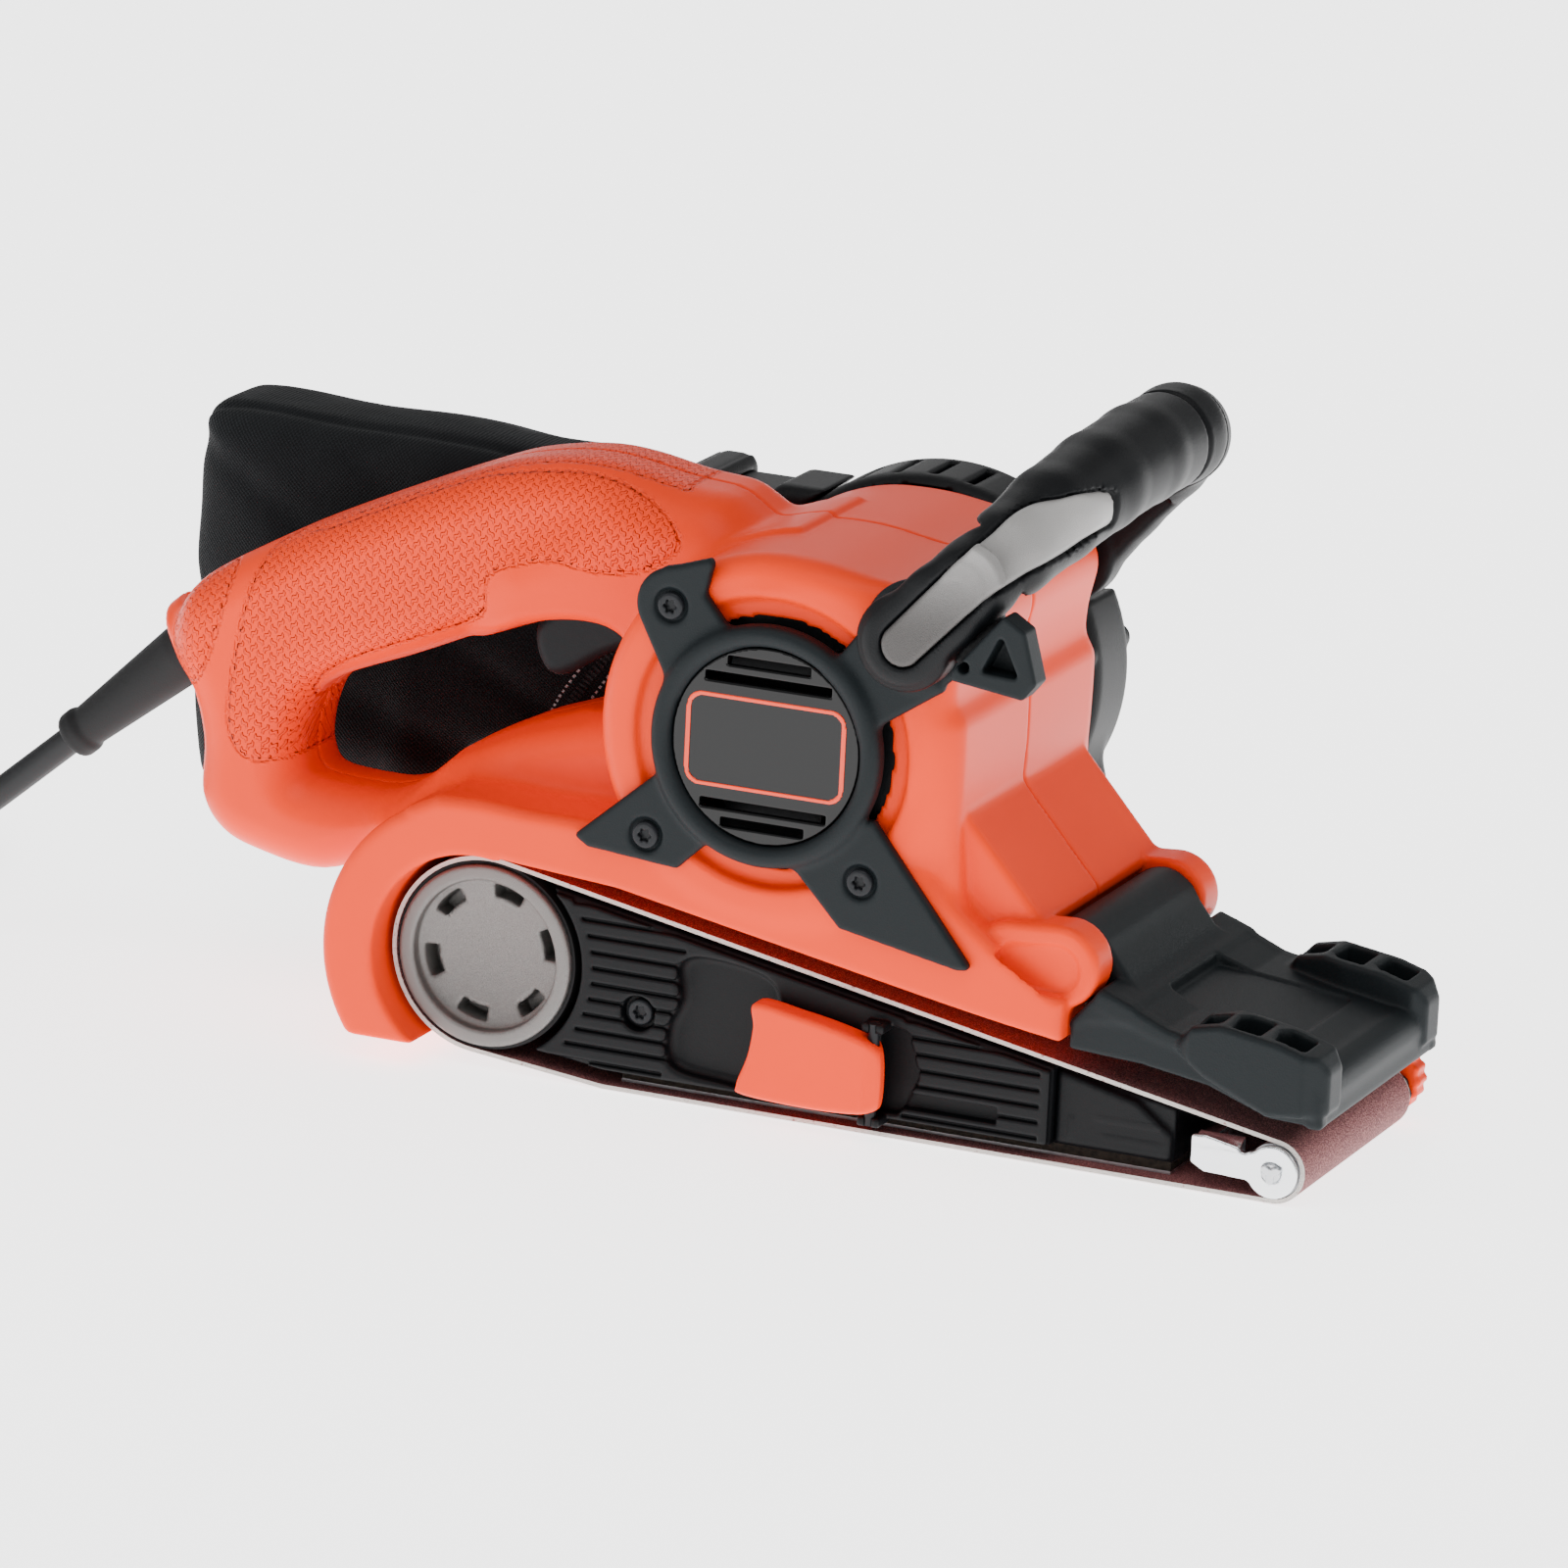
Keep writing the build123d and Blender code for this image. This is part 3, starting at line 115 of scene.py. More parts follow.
# ------------------------------------------------------------------ shader helpers
class Val:
    """A shader value that can be added, multiplied and passed through functions."""

    def __init__(self, tree, socket):
        self.tree, self.socket = tree, socket

    def _math(self, kind, *others):
        node = self.tree.nodes.new("ShaderNodeMath")
        node.operation = kind
        for slot_in, value in zip(node.inputs, (self, *others)):
            if isinstance(value, Val):
                self.tree.links.new(value.socket, slot_in)
            else:
                slot_in.default_value = value
        return Val(self.tree, node.outputs[0])

    def __add__(self, other):
        return self._math("ADD", other)

    def __sub__(self, other):
        return self._math("SUBTRACT", other)

    def __mul__(self, other):
        return self._math("MULTIPLY", other)

    def apply(self, kind, *others):
        return self._math(kind, *others)

    def step(self, low, high, out_low=0.0, out_high=1.0):
        """Smooth step from out_low at low to out_high at high."""
        node = self.tree.nodes.new("ShaderNodeMapRange")
        node.interpolation_type = "SMOOTHSTEP"
        self.tree.links.new(self.socket, node.inputs["Value"])
        for key, value in (("From Min", low), ("From Max", high),
                           ("To Min", out_low), ("To Max", out_high)):
            node.inputs[key].default_value = value
        return Val(self.tree, node.outputs[0])


class Finish:
    """A principled material with helpers for colour and relief."""

    def __init__(self, name, colour, rough, metal=0.0, coat=0.0, sheen=0.0, spec=0.5):
        self.material = bpy.data.materials.new(name)
        self.material.use_nodes = True
        self.tree = self.material.node_tree
        self.shader = self.tree.nodes["Principled BSDF"]
        self.set("Base Color", (*colour, 1.0))
        self.set("Roughness", rough)
        self.set("Metallic", metal)
        self.set("Coat Weight", coat)
        self.set("Sheen Weight", sheen)
        self.set("Specular IOR Level", spec)
        self.coords = self.tree.nodes.new("ShaderNodeTexCoord")
        self.relief = None

    def set(self, key, value):
        self.shader.inputs[key].default_value = value

    def link(self, value, key):
        self.tree.links.new(value.socket, self.shader.inputs[key])

    def place(self):
        """x, y and z of the surface point, in millimetres."""
        scale = self.tree.nodes.new("ShaderNodeVectorMath")
        scale.operation = "SCALE"
        scale.inputs["Scale"].default_value = 1000.0
        self.tree.links.new(self.coords.outputs["Object"], scale.inputs[0])
        split = self.tree.nodes.new("ShaderNodeSeparateXYZ")
        self.tree.links.new(scale.outputs[0], split.inputs[0])
        return [Val(self.tree, out) for out in split.outputs]

    def noise(self, scale, detail=2.0, stretch=(1, 1, 1)):
        """Noise with scale cycles to the metre."""
        squash = self.tree.nodes.new("ShaderNodeMapping")
        squash.inputs["Scale"].default_value = stretch
        self.tree.links.new(self.coords.outputs["Object"], squash.inputs["Vector"])
        node = self.tree.nodes.new("ShaderNodeTexNoise")
        node.inputs["Scale"].default_value = scale
        node.inputs["Detail"].default_value = detail
        self.tree.links.new(squash.outputs[0], node.inputs["Vector"])
        return Val(self.tree, node.outputs["Fac"])

    def cells(self, scale, feature="F1"):
        node = self.tree.nodes.new("ShaderNodeTexVoronoi")
        node.feature = feature
        node.inputs["Scale"].default_value = scale
        self.tree.links.new(self.coords.outputs["Object"], node.inputs["Vector"])
        return Val(self.tree, node.outputs["Distance"])

    def mark(self, name):
        """A value painted on the mesh's points."""
        node = self.tree.nodes.new("ShaderNodeAttribute")
        node.attribute_name = name
        return Val(self.tree, node.outputs["Fac"])

    def bump(self, height, depth, strength=1.0):
        """Adds a relief of that depth in metres."""
        node = self.tree.nodes.new("ShaderNodeBump")
        node.inputs["Distance"].default_value = depth
        node.inputs["Strength"].default_value = strength
        self.tree.links.new(height.socket, node.inputs["Height"])
        if self.relief is not None:
            self.tree.links.new(self.relief, node.inputs["Normal"])
        self.relief = node.outputs["Normal"]
        self.tree.links.new(self.relief, self.shader.inputs["Normal"])
        return self

    def blend(self, factor, low, high):
        """Colour from low at 0 to high at 1."""
        node = self.tree.nodes.new("ShaderNodeMix")
        node.data_type = "RGBA"
        self.tree.links.new(factor.socket, node.inputs["Factor"])
        for socket, colour in ((node.inputs["A"], low), (node.inputs["B"], high)):
            if isinstance(colour, bpy.types.NodeSocket):
                self.tree.links.new(colour, socket)
            else:
                socket.default_value = (*colour, 1.0)
        self.tree.links.new(node.outputs["Result"], self.shader.inputs["Base Color"])
        return node.outputs["Result"]


def moulded(name, colour, rough, grain=900.0, depth=0.00004, sway=0.05, spec=0.16):
    """Moulded plastic: fine spark-eroded grain and slightly uneven gloss."""
    made = Finish(name, colour, rough, spec=spec)
    made.bump(made.noise(grain * 3, 3.0), depth)
    cloud = made.noise(25.0, 3.0)
    made.link(cloud * sway + (rough - sway / 2), "Roughness")
    made.blend(cloud, [c * 0.94 for c in colour], [min(1.0, c * 1.05) for c in colour])
    return made


ORANGE = (0.90, 0.042, 0.0)
CHARCOAL = (0.0070, 0.0100, 0.0115)
BLACK = (0.0028, 0.0034, 0.0042)


def make_materials():
    looks = {}
    looks["orange"] = moulded("orange_plastic", ORANGE, 0.40)
    looks["charcoal"] = moulded("charcoal_plastic", CHARCOAL, 0.52, depth=0.00008)
    looks["black"] = moulded("black_plastic", BLACK, 0.46, depth=0.00008)
    looks["grip"] = grip_orange()
    looks["gloss"] = Finish("badge_black", (0.002, 0.002, 0.0022), 0.16, spec=0.3)
    looks["outline"] = Finish("badge_orange", ORANGE, 0.35)
    inlay = Finish("inlay_grey", (0.26, 0.245, 0.235), 0.34, metal=0.25)
    inlay.bump(inlay.noise(5200.0, 2.0), 0.00012)
    # painted shade and highlight: the insert is coloured near black low on the arm and pale grey
    # towards the top, standing in for its shaded side face and its lit upper face
    along = inlay.place()
    rise = (along[2] * 1.0).step(134.0, 178.0)
    inlay.blend(rise, (0.05, 0.046, 0.044), (0.42, 0.41, 0.40))
    looks["inlay"] = inlay
    zinc = Finish("zinc_plate", (0.80, 0.82, 0.84), 0.24, metal=1.0)
    zinc.bump(zinc.noise(260.0, 4.0, (1, 1, 8)), 0.00005)
    looks["zinc"] = zinc
    steel = Finish("steel", (0.55, 0.56, 0.58), 0.30, metal=1.0)
    steel.bump(steel.noise(900.0, 2.0, (1, 6, 1)), 0.00003)
    looks["steel"] = steel
    cast = Finish("cast_alloy", (0.50, 0.51, 0.53), 0.48, metal=1.0)
    cast.bump(cast.noise(1400.0, 4.0), 0.0001)
    looks["cast"] = cast
    looks["screw"] = moulded("screw_black", (0.012, 0.013, 0.015), 0.30, depth=0.00003)
    looks["abrasive"] = abrasive()
    hub = Finish("drum_grey", (0.185, 0.18, 0.172), 0.42, metal=0.55)
    hub.bump(hub.noise(5200.0, 2.0), 0.0001)
    grain = hub.noise(7000.0, 1.0)
    hub.blend(grain.step(0.35, 0.65), (0.11, 0.105, 0.10), (0.20, 0.192, 0.185))
    looks["hub"] = hub
    rubber = Finish("rubber", (0.005, 0.005, 0.0055), 0.6, spec=0.25)
    rubber.bump(rubber.noise(2600.0, 3.0), 0.00006)
    looks["rubber"] = rubber
    cord = Finish("cord_rubber", (0.0055, 0.006, 0.007), 0.48, spec=0.3)
    cord.bump(cord.noise(700.0, 3.0), 0.00004)
    looks["cord"] = cord
    copper = Finish("copper_wire", (0.62, 0.24, 0.10), 0.35, metal=1.0)
    wire = copper.place()
    copper.bump((wire[0] * 5.0).apply("SINE"), 0.0002)
    looks["copper"] = copper
    brass = Finish("brass", (0.72, 0.52, 0.22), 0.28, metal=1.0)
    brass.bump(brass.noise(800.0, 2.0), 0.00003)
    looks["brass"] = brass
    cork = Finish("cork", (0.02, 0.016, 0.012), 0.85, spec=0.2)
    cork.blend(cork.cells(700.0), (0.008, 0.006, 0.005), (0.03, 0.022, 0.016))
    cork.bump(cork.cells(700.0), 0.0003)
    looks["cork"] = cork
    lamination = Finish("lamination", (0.22, 0.22, 0.23), 0.45, metal=0.9)
    sheet = lamination.place()
    lamination.bump((sheet[1] * 12.0).apply("SINE"), 0.0001)
    looks["lamination"] = lamination
    looks["cloth"] = bag_cloth()
    return {key: look.material for key, look in looks.items()}


def grip_orange():
    """Orange plastic with raised squiggles where the mesh is marked as grip."""
    made = moulded("orange_grip", ORANGE, 0.40)
    x, y, z = made.place()
    normal = made.tree.nodes.new("ShaderNodeNewGeometry")
    split = made.tree.nodes.new("ShaderNodeSeparateXYZ")
    made.tree.links.new(normal.outputs["Normal"], split.inputs[0])
    side = Val(made.tree, split.outputs[2]).apply("SIGN")
    high = z - y.apply("ABSOLUTE") * side
    pitch = 3.7
    u = (x + high) * (1 / pitch)
    v = (x - high) * (1 / pitch)
    parity = (u.apply("FLOOR") + v.apply("FLOOR")).apply("PINGPONG", 1.0)
    fu = (u.apply("FRACT") - 0.5)
    fv = (v.apply("FRACT") - 0.5)
    wave = (fu * 9.0).apply("SINE") * 0.09
    wave_v = (fv * 9.0).apply("SINE") * 0.09
    dash_u = (fu * 0.30).apply("POWER", 2.0) + (fv - wave).apply("POWER", 2.0)
    dash_v = (fv * 0.30).apply("POWER", 2.0) + (fu - wave_v).apply("POWER", 2.0)
    near = dash_u * parity + dash_v * (parity * -1.0 + 1.0)
    ridge = near.step(0.012, 0.05, 1.0, 0.0) * made.mark("grip")
    made.bump(ridge, 0.0010)
    seam = (made.mark("grip") - 0.5).apply("ABSOLUTE").step(0.1, 0.45, 1.0, 0.0)
    made.bump(seam * -1.0, 0.0005)
    return made


def abrasive():
    """Maroon grit on cloth, with pale frayed edges."""
    made = Finish("abrasive", (0.15, 0.03, 0.035), 0.75)
    x, y, z = made.place()
    grit = made.noise(2600.0, 2.0)
    sparkle = grit.step(0.42, 0.66)
    surface = made.blend(sparkle, (0.13, 0.028, 0.032), (0.42, 0.16, 0.15))
    fray = made.noise(900.0, 3.0)
    edge = (y.apply("ABSOLUTE") + fray * 1.2).step(38.2, 38.5)
    made.blend(edge, surface, (0.62, 0.57, 0.53))
    made.bump(grit, 0.0005)
    return made


def bag_cloth():
    """Black plain-weave polyester with soft creases."""
    made = Finish("bag_cloth", (0.005, 0.006, 0.007), 0.85, sheen=0.05, spec=0.15)
    x, y, z = made.place()
    weave = (x * 5.6).apply("SINE") * (z * 5.6).apply("SINE")
    made.bump(weave, 0.00012)
    fold = made.noise(26.0, 4.0, (1.0, 1.0, 0.6))
    made.bump(fold, 0.0035, 0.55)
    cloud = made.blend(made.noise(60.0, 4.0), (0.0036, 0.0042, 0.005), (0.008, 0.0095, 0.011))
    # zip and two dashed seams down the front, on the side that faces the handle
    along = (x + 83.0) * -0.567 + (z - 87.0) * -0.825
    off = (x + 83.0) * 0.825 + (z - 87.0) * -0.567
    facing = y.step(40.0, 42.0, 1.0, 0.0)
    teeth = (along * 4.2).apply("SINE").step(-0.2, 0.4) * off.apply("ABSOLUTE").step(1.0, 1.5, 1.0, 0.0)
    made.bump(teeth * facing, 0.0006)
    dash = (along * 3.4).apply("SINE").step(-0.1, 0.1)
    seam = (off.apply("ABSOLUTE") - 3.4).apply("ABSOLUTE").step(0.22, 0.4, 1.0, 0.0) * dash
    toothed = made.blend(teeth * facing, cloud, (0.030, 0.032, 0.034))
    made.blend(seam * facing, toothed, (0.42, 0.43, 0.44))
    return made


# ------------------------------------------------------------------ distance fields
def join(a, b, radius):
    """Union with a fillet of about that radius."""
    h = np.maximum(radius - np.abs(a - b), 0) / radius
    return np.minimum(a, b) - h * h * radius / 4


def cut(a, b, radius):
    """a without b, the new edge eased."""
    return -join(-a, b, radius)


def both(a, b, radius):
    """Overlap of a and b, the new edge eased."""
    return -join(-a, -b, radius)


def circle(x, z, centre, radius):
    return np.hypot(x - centre[0], z - centre[1]) - radius


def hull(x, z, start, r0, end, r1):
    """Hull of two circles."""
    h = hypot(end[0] - start[0], end[1] - start[1])
    ax, az = (end[0] - start[0]) / h, (end[1] - start[1]) / h
    px = np.abs((x - start[0]) * -az + (z - start[1]) * ax)
    py = (x - start[0]) * ax + (z - start[1]) * az
    b = (r0 - r1) / h
    a = (1 - b * b) ** 0.5
    k = -b * px + a * py
    middle = px * a + py * b - r0
    out = np.where(k < 0, np.hypot(px, py) - r0, middle)
    return np.where(k > a * h, np.hypot(px, py - h) - r1, out)


def inset(points, amount):
    """The outline moved inwards, corners kept sharp."""
    area = sum(a[0] * b[1] - b[0] * a[1] for a, b in zip(points, points[1:] + points[:1]))
    sign = 1 if area > 0 else -1
    moved = []
    for before, here, after in zip(points[-1:] + points[:-1], points, points[1:] + points[:1]):
        d0 = Vector((here[0] - before[0], here[1] - before[1])).normalized()
        d1 = Vector((after[0] - here[0], after[1] - here[1])).normalized()
        n0, n1 = Vector((-d0.y, d0.x)) * sign, Vector((-d1.y, d1.x)) * sign
        middle = n0 + n1
        scale = amount * 2 / max(middle.length_squared, 0.5)
        moved.append((here[0] + middle.x * scale, here[1] + middle.y * scale))
    return moved


def outline(x, z, points, radius=0.0):
    """Distance to a closed outline of straight sides, its corners rounded."""
    corners = inset(points, radius) if radius else points
    least, inside = None, False
    for (x0, z0), (x1, z1) in zip(corners, corners[1:] + corners[:1]):
        ex, ez = x1 - x0, z1 - z0
        wx, wz = x - x0, z - z0
        t = np.clip((wx * ex + wz * ez) / (ex * ex + ez * ez), 0, 1)
        square = (wx - ex * t) ** 2 + (wz - ez * t) ** 2
        least = square if least is None else np.minimum(least, square)
        if ez:
            inside = inside ^ (((z0 <= z) != (z1 <= z)) & (wx < wz * ex / ez))
    return np.where(inside, -np.sqrt(least), np.sqrt(least)) - radius


def smooth_line(points, steps=6, closed=True):
    """Catmull-Rom curve through the points."""
    count = len(points)
    made = []
    for i in range(count if closed else count - 1):
        if closed:
            p = [np.array(points[(i + k) % count], float) for k in (-1, 0, 1, 2)]
        else:
            p = [np.array(points[min(max(i + k, 0), count - 1)], float) for k in (-1, 0, 1, 2)]
        for s in range(steps):
            t = s / steps
            made.append(tuple(
                0.5 * (2 * p[1] + (p[2] - p[0]) * t + (2 * p[0] - 5 * p[1] + 4 * p[2] - p[3]) * t**2
                       + (3 * p[1] - p[0] - 3 * p[2] + p[3]) * t**3)))
    if not closed:
        made.append(tuple(points[-1]))
    return made


def across(flat, y, low, high, radius):
    """A flat field carried across the width from low to high, its edges rounded."""
    dy = np.abs(y - (low + high) / 2) - (high - low) / 2
    a, b = flat + radius, dy + radius
    return np.hypot(np.maximum(a, 0), np.maximum(b, 0)) + np.minimum(np.maximum(a, b), 0) - radius


def box(x, y, z, low, high, radius):
    """A box with rounded edges."""
    parts = [np.abs(c - (a + b) / 2) - (b - a) / 2 + radius
             for c, a, b in zip((x, y, z), low, high)]
    outside = np.sqrt(sum(np.maximum(p, 0) ** 2 for p in parts))
    return outside + np.minimum(np.maximum(np.maximum(parts[0], parts[1]), parts[2]), 0) - radius


# ------------------------------------------------------------------ meshing
def nets(field, low, high, step):
    """Surface of a field as points and quads (naive surface nets, then pulled on to it)."""
    axes = [np.arange(a, b + step, step) for a, b in zip(low, high)]
    shape = tuple(len(a) for a in axes)
    grid = np.broadcast_to(
        field(axes[0][:, None, None], axes[1][None, :, None], axes[2][None, None, :]), shape)
    cells = tuple(n - 1 for n in shape)
    corner = {}
    for i, j, k in product((0, 1), repeat=3):
        corner[i, j, k] = grid[i:cells[0] + i, j:cells[1] + j, k:cells[2] + k]
    count = sum((c < 0).astype(np.int8) for c in corner.values())
    active = (count > 0) & (count < 8)
    where = np.argwhere(active)
    index = np.full(cells, -1, np.int64)
    index[active] = np.arange(len(where))
    total, hits = np.zeros((len(where), 3)), np.zeros(len(where))
    for a in corner:
        for axis in range(3):
            if a[axis]:
                continue
            b = tuple(1 if n == axis else a[n] for n in range(3))
            da, db = corner[a][active], corner[b][active]
            crossed = (da < 0) != (db < 0)
            t = np.where(crossed, da / np.where(crossed, da - db, 1), 0)
            point = np.tile(np.array(a, float), (len(where), 1))
            point[:, axis] += t
            total[crossed] += point[crossed]
            hits[crossed] += 1
    points = (where + total / hits[:, None]) * step + np.array([a[0] for a in axes])
    quads = []
    for axis in range(3):
        u, v = (axis + 1) % 3, (axis + 2) % 3
        first = [slice(None)] * 3
        second = [slice(None)] * 3
        first[axis], second[axis] = slice(0, -1), slice(1, None)
        for n in (u, v):
            first[n] = second[n] = slice(1, -1)
        g0, g1 = grid[tuple(first)] < 0, grid[tuple(second)] < 0
        for flip, edges in ((False, np.argwhere(g0 & ~g1)), (True, np.argwhere(~g0 & g1))):
            edges[:, u] += 1
            edges[:, v] += 1
            ring = []
            for du, dv in ((-1, -1), (0, -1), (0, 0), (-1, 0)):
                at = edges.copy()
                at[:, u] += du
                at[:, v] += dv
                ring.append(index[at[:, 0], at[:, 1], at[:, 2]])
            ring = ring[::-1] if flip else ring
            quads.append(np.stack(ring, 1))
    quads = np.concatenate(quads)
    tiny = 0.05 * step
    for _ in range(3):
        here = field(*points.T)
        slope = np.stack([
            (field(*(points + tiny * np.eye(3)[n]).T) - field(*(points - tiny * np.eye(3)[n]).T))
            / (2 * tiny) for n in range(3)], 1)
        size = np.maximum((slope**2).sum(1), 0.05)
        move = np.clip(here / size, -0.35 * step, 0.35 * step)
        points = points - slope * move[:, None]
    return points, quads


def write_mesh(name, points, quads):
    """A smooth-shaded object from points in millimetres."""
    mesh = bpy.data.meshes.new(name)
    mesh.vertices.add(len(points))
    mesh.vertices.foreach_set("co", (points * MM).astype(np.float32).ravel())
    mesh.loops.add(quads.size)
    mesh.loops.foreach_set("vertex_index", quads.astype(np.int32).ravel())
    mesh.polygons.add(len(quads))
    mesh.polygons.foreach_set("loop_start", np.arange(0, quads.size, 4, dtype=np.int32))
    mesh.update(calc_edges=True)
    mesh.validate()
    mesh.shade_smooth()
    made = bpy.data.objects.new(name, mesh)
    bpy.context.scene.collection.objects.link(made)
    return made


def place(made, body, look, slot, stands_for=()):
    """Gives a piece its material and ties it to its CAD body."""
    made.data.materials.clear()
    made.data.materials.append(LOOKS[look])
    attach(made, body)
    if stands_for:
        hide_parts(*stands_for)
    return made


def carve(name, field, low, high, step, body, look, slot, stands_for=()):
    """Meshes a field and places the piece."""
    points, quads = nets(field, low, high, step)
    return place(write_mesh(name, points, quads), body, look, slot, stands_for)


def paint(made, name, values):
    """Stores a number on each point of the mesh for its material."""
    layer = made.data.attributes.new(name, "FLOAT", "POINT")
    layer.data.foreach_set("value", values.astype(np.float32))


def points_of(made):
    co = np.empty(len(made.data.vertices) * 3)
    made.data.vertices.foreach_get("co", co)
    return co.reshape(-1, 3) / MM


# ------------------------------------------------------------------ cord
LEAD_ROUTE = [(-214.6, 0, 57.8), (-236.6, 0, 38.7), (-262, -4, 17), (-292, -9, 3.8),
              (-324, -12.5, 3.8)]
TAIL_ROUTE = [(-387.5, 43.5, 7.5), (-388.0, 60, 4.2), (-386.5, 76, 3.8), (-383, 92, 3.8)]
COIL = (-324.0, 43.5)
# turns made so far, radius and height along the coil
COIL_STEPS = [(0, 56, 3.8), (0.5, 56, 3.8), (1, 48.5, 3.8), (1.5, 48.5, 3.8), (2, 41, 3.8),
              (2.5, 41, 11.2), (3, 41, 11.2), (3.5, 48.5, 11.2), (4, 48.5, 11.2),
              (4.5, 56, 11.2), (4.8, 56, 11.2), (5, 59, 11.2), (5.25, 63.5, 7.5)]


def make_cord():
    """The lead as one spline: run, flat coil in two layers, tail to the plug."""
    turns = []
    per_turn = 20
    for n in range(1, int(per_turn * 5.25)):
        t = n / per_turn
        for (t0, r0, z0), (t1, r1, z1) in zip(COIL_STEPS, COIL_STEPS[1:]):
            if t0 <= t <= t1:
                f = (t - t0) / (t1 - t0)
                f = f * f * (3 - 2 * f)
                r, z = r0 + (r1 - r0) * f, z0 + (z1 - z0) * f
        angle = -pi / 2 - 2 * pi * t
        turns.append((COIL[0] + r * cos(angle), COIL[1] + r * sin(angle), z))
    route = LEAD_ROUTE + turns + TAIL_ROUTE
    data = bpy.data.curves.new("power_cord", "CURVE")
    data.dimensions = "3D"
    line = data.splines.new("NURBS")
    line.points.add(len(route) - 1)
    for point, at in zip(line.points, route):
        point.co = (at[0] * MM, at[1] * MM, at[2] * MM, 1.0)
    line.order_u = 3
    line.use_endpoint_u = True
    line.resolution_u = 8
    data.bevel_depth = CORD_R * MM
    data.bevel_resolution = 5
    data.use_fill_caps = True
    made = bpy.data.objects.new("power_cord", data)
    bpy.context.scene.collection.objects.link(made)
    place(made, "housing", "cord", "cord_rubber", ("cord_lead", "cord_coil", "cord_tail"))
    return made


def relief_field(x, y, z):
    """Tapered sleeve along its axis, with a collar at the tip."""
    ax, az = -33.6 / 44.515, -29.2 / 44.515
    along = (x + 181.0) * ax + (z - 87.0) * az
    wide = np.hypot(y, (x + 181.0) * -az + (z - 87.0) * ax)
    radius = 7.9 - 2.6 * np.clip((along - 4) / 40, 0, 1)
    body = np.maximum(wide - radius, np.abs(along - 16) - 28)
    collar = both(wide - 6.4, np.abs(along - 42.2) - 2.4, 1.6)
    return join(body, collar, 1.5)


def plug_field(x, y, z):
    """Plug body in its own frame: x along the blades, z up."""
    grip = box(x, y, z, (14, -11.8, -3.6), (35, 11.8, 11.1), 3.6)
    rise = 0.17 * np.clip(x, 0, 18)
    neck = np.maximum(np.hypot(y, z - rise) - (CORD_R + rise), np.abs(x - 9) - 9)
    body = join(grip, neck, 6.0)
    for at in (18.5, 22.5, 26.5):
        body = cut(body, np.hypot(np.abs(y) - 12.6, x - at) - 1.5, 0.6)
    return body


def make_cord_fittings():
    relief = carve("strain_relief_sleeve", relief_field, (-222, -9, 50), (-168, 9, 100), 0.6,
                   "housing", "rubber", "cord_rubber", ("strain_relief",))
    points, quads = nets(plug_field, (-1, -14, -6), (37, 14, 13), 0.7)
    dx, dy = 5.4, 28.0
    length = hypot(dx, dy)
    dx, dy = dx / length, dy / length
    turned = np.stack([TAIL_ROUTE[-1][0] + points[:, 0] * dx - points[:, 1] * dy,
                       TAIL_ROUTE[-1][1] + points[:, 0] * dy + points[:, 1] * dx,
                       TAIL_ROUTE[-1][2] + points[:, 2]], 1)
    plug = place(write_mesh("plug", turned, quads), "housing", "rubber", "cord_rubber",
                 ("plug_body",))
    middle = (COIL[0] + 48.5, COIL[1])

    def band(x, y, z):
        """Strap over the coil's two layers."""
        shell = np.abs(box(x, y, z, (middle[0] - 11.9, middle[1] - 9, -2),
                           (middle[0] + 11.9, middle[1] + 9, 15.6), 3.0)) - 0.5
        return both(both(shell, np.abs(y - middle[1]) - 4.0, 0.3), 0.1 - z, 0.3)

    tie = carve("coil_strap", band, (middle[0] - 14, middle[1] - 6, -1),
                (middle[0] + 14, middle[1] + 6, 18), 0.45, "housing", "black", "black_plastic",
                ("coil_tie",))
    return relief, plug, tie


# ------------------------------------------------------------------ case
GRIP_OUTER = smooth_line([
    (-24, 141), (-45, 150.5), (-65, 154.4), (-86, 151.5), (-103, 145.2), (-130, 133),
    (-153, 121.5), (-174, 108.5), (-181.0, 98), (-180.6, 87), (-175.5, 77.5), (-172.6, 66),
    (-172.4, 52), (-166.5, 43.0), (-156, 38.6), (-137, 36.4), (-118, 45), (-108, 50),
    (-80, 56), (-50, 70), (-24, 100)])
WINDOW = smooth_line([
    (-112, 61.2), (-138, 59.8), (-144.5, 64.5), (-143.5, 77), (-137, 86.5), (-114, 96.6),
    (-92, 106.5), (-74, 113), (-58, 113.5), (-48.5, 106), (-47.5, 93), (-54, 88.3),
    (-70, 86), (-92, 75.5)])


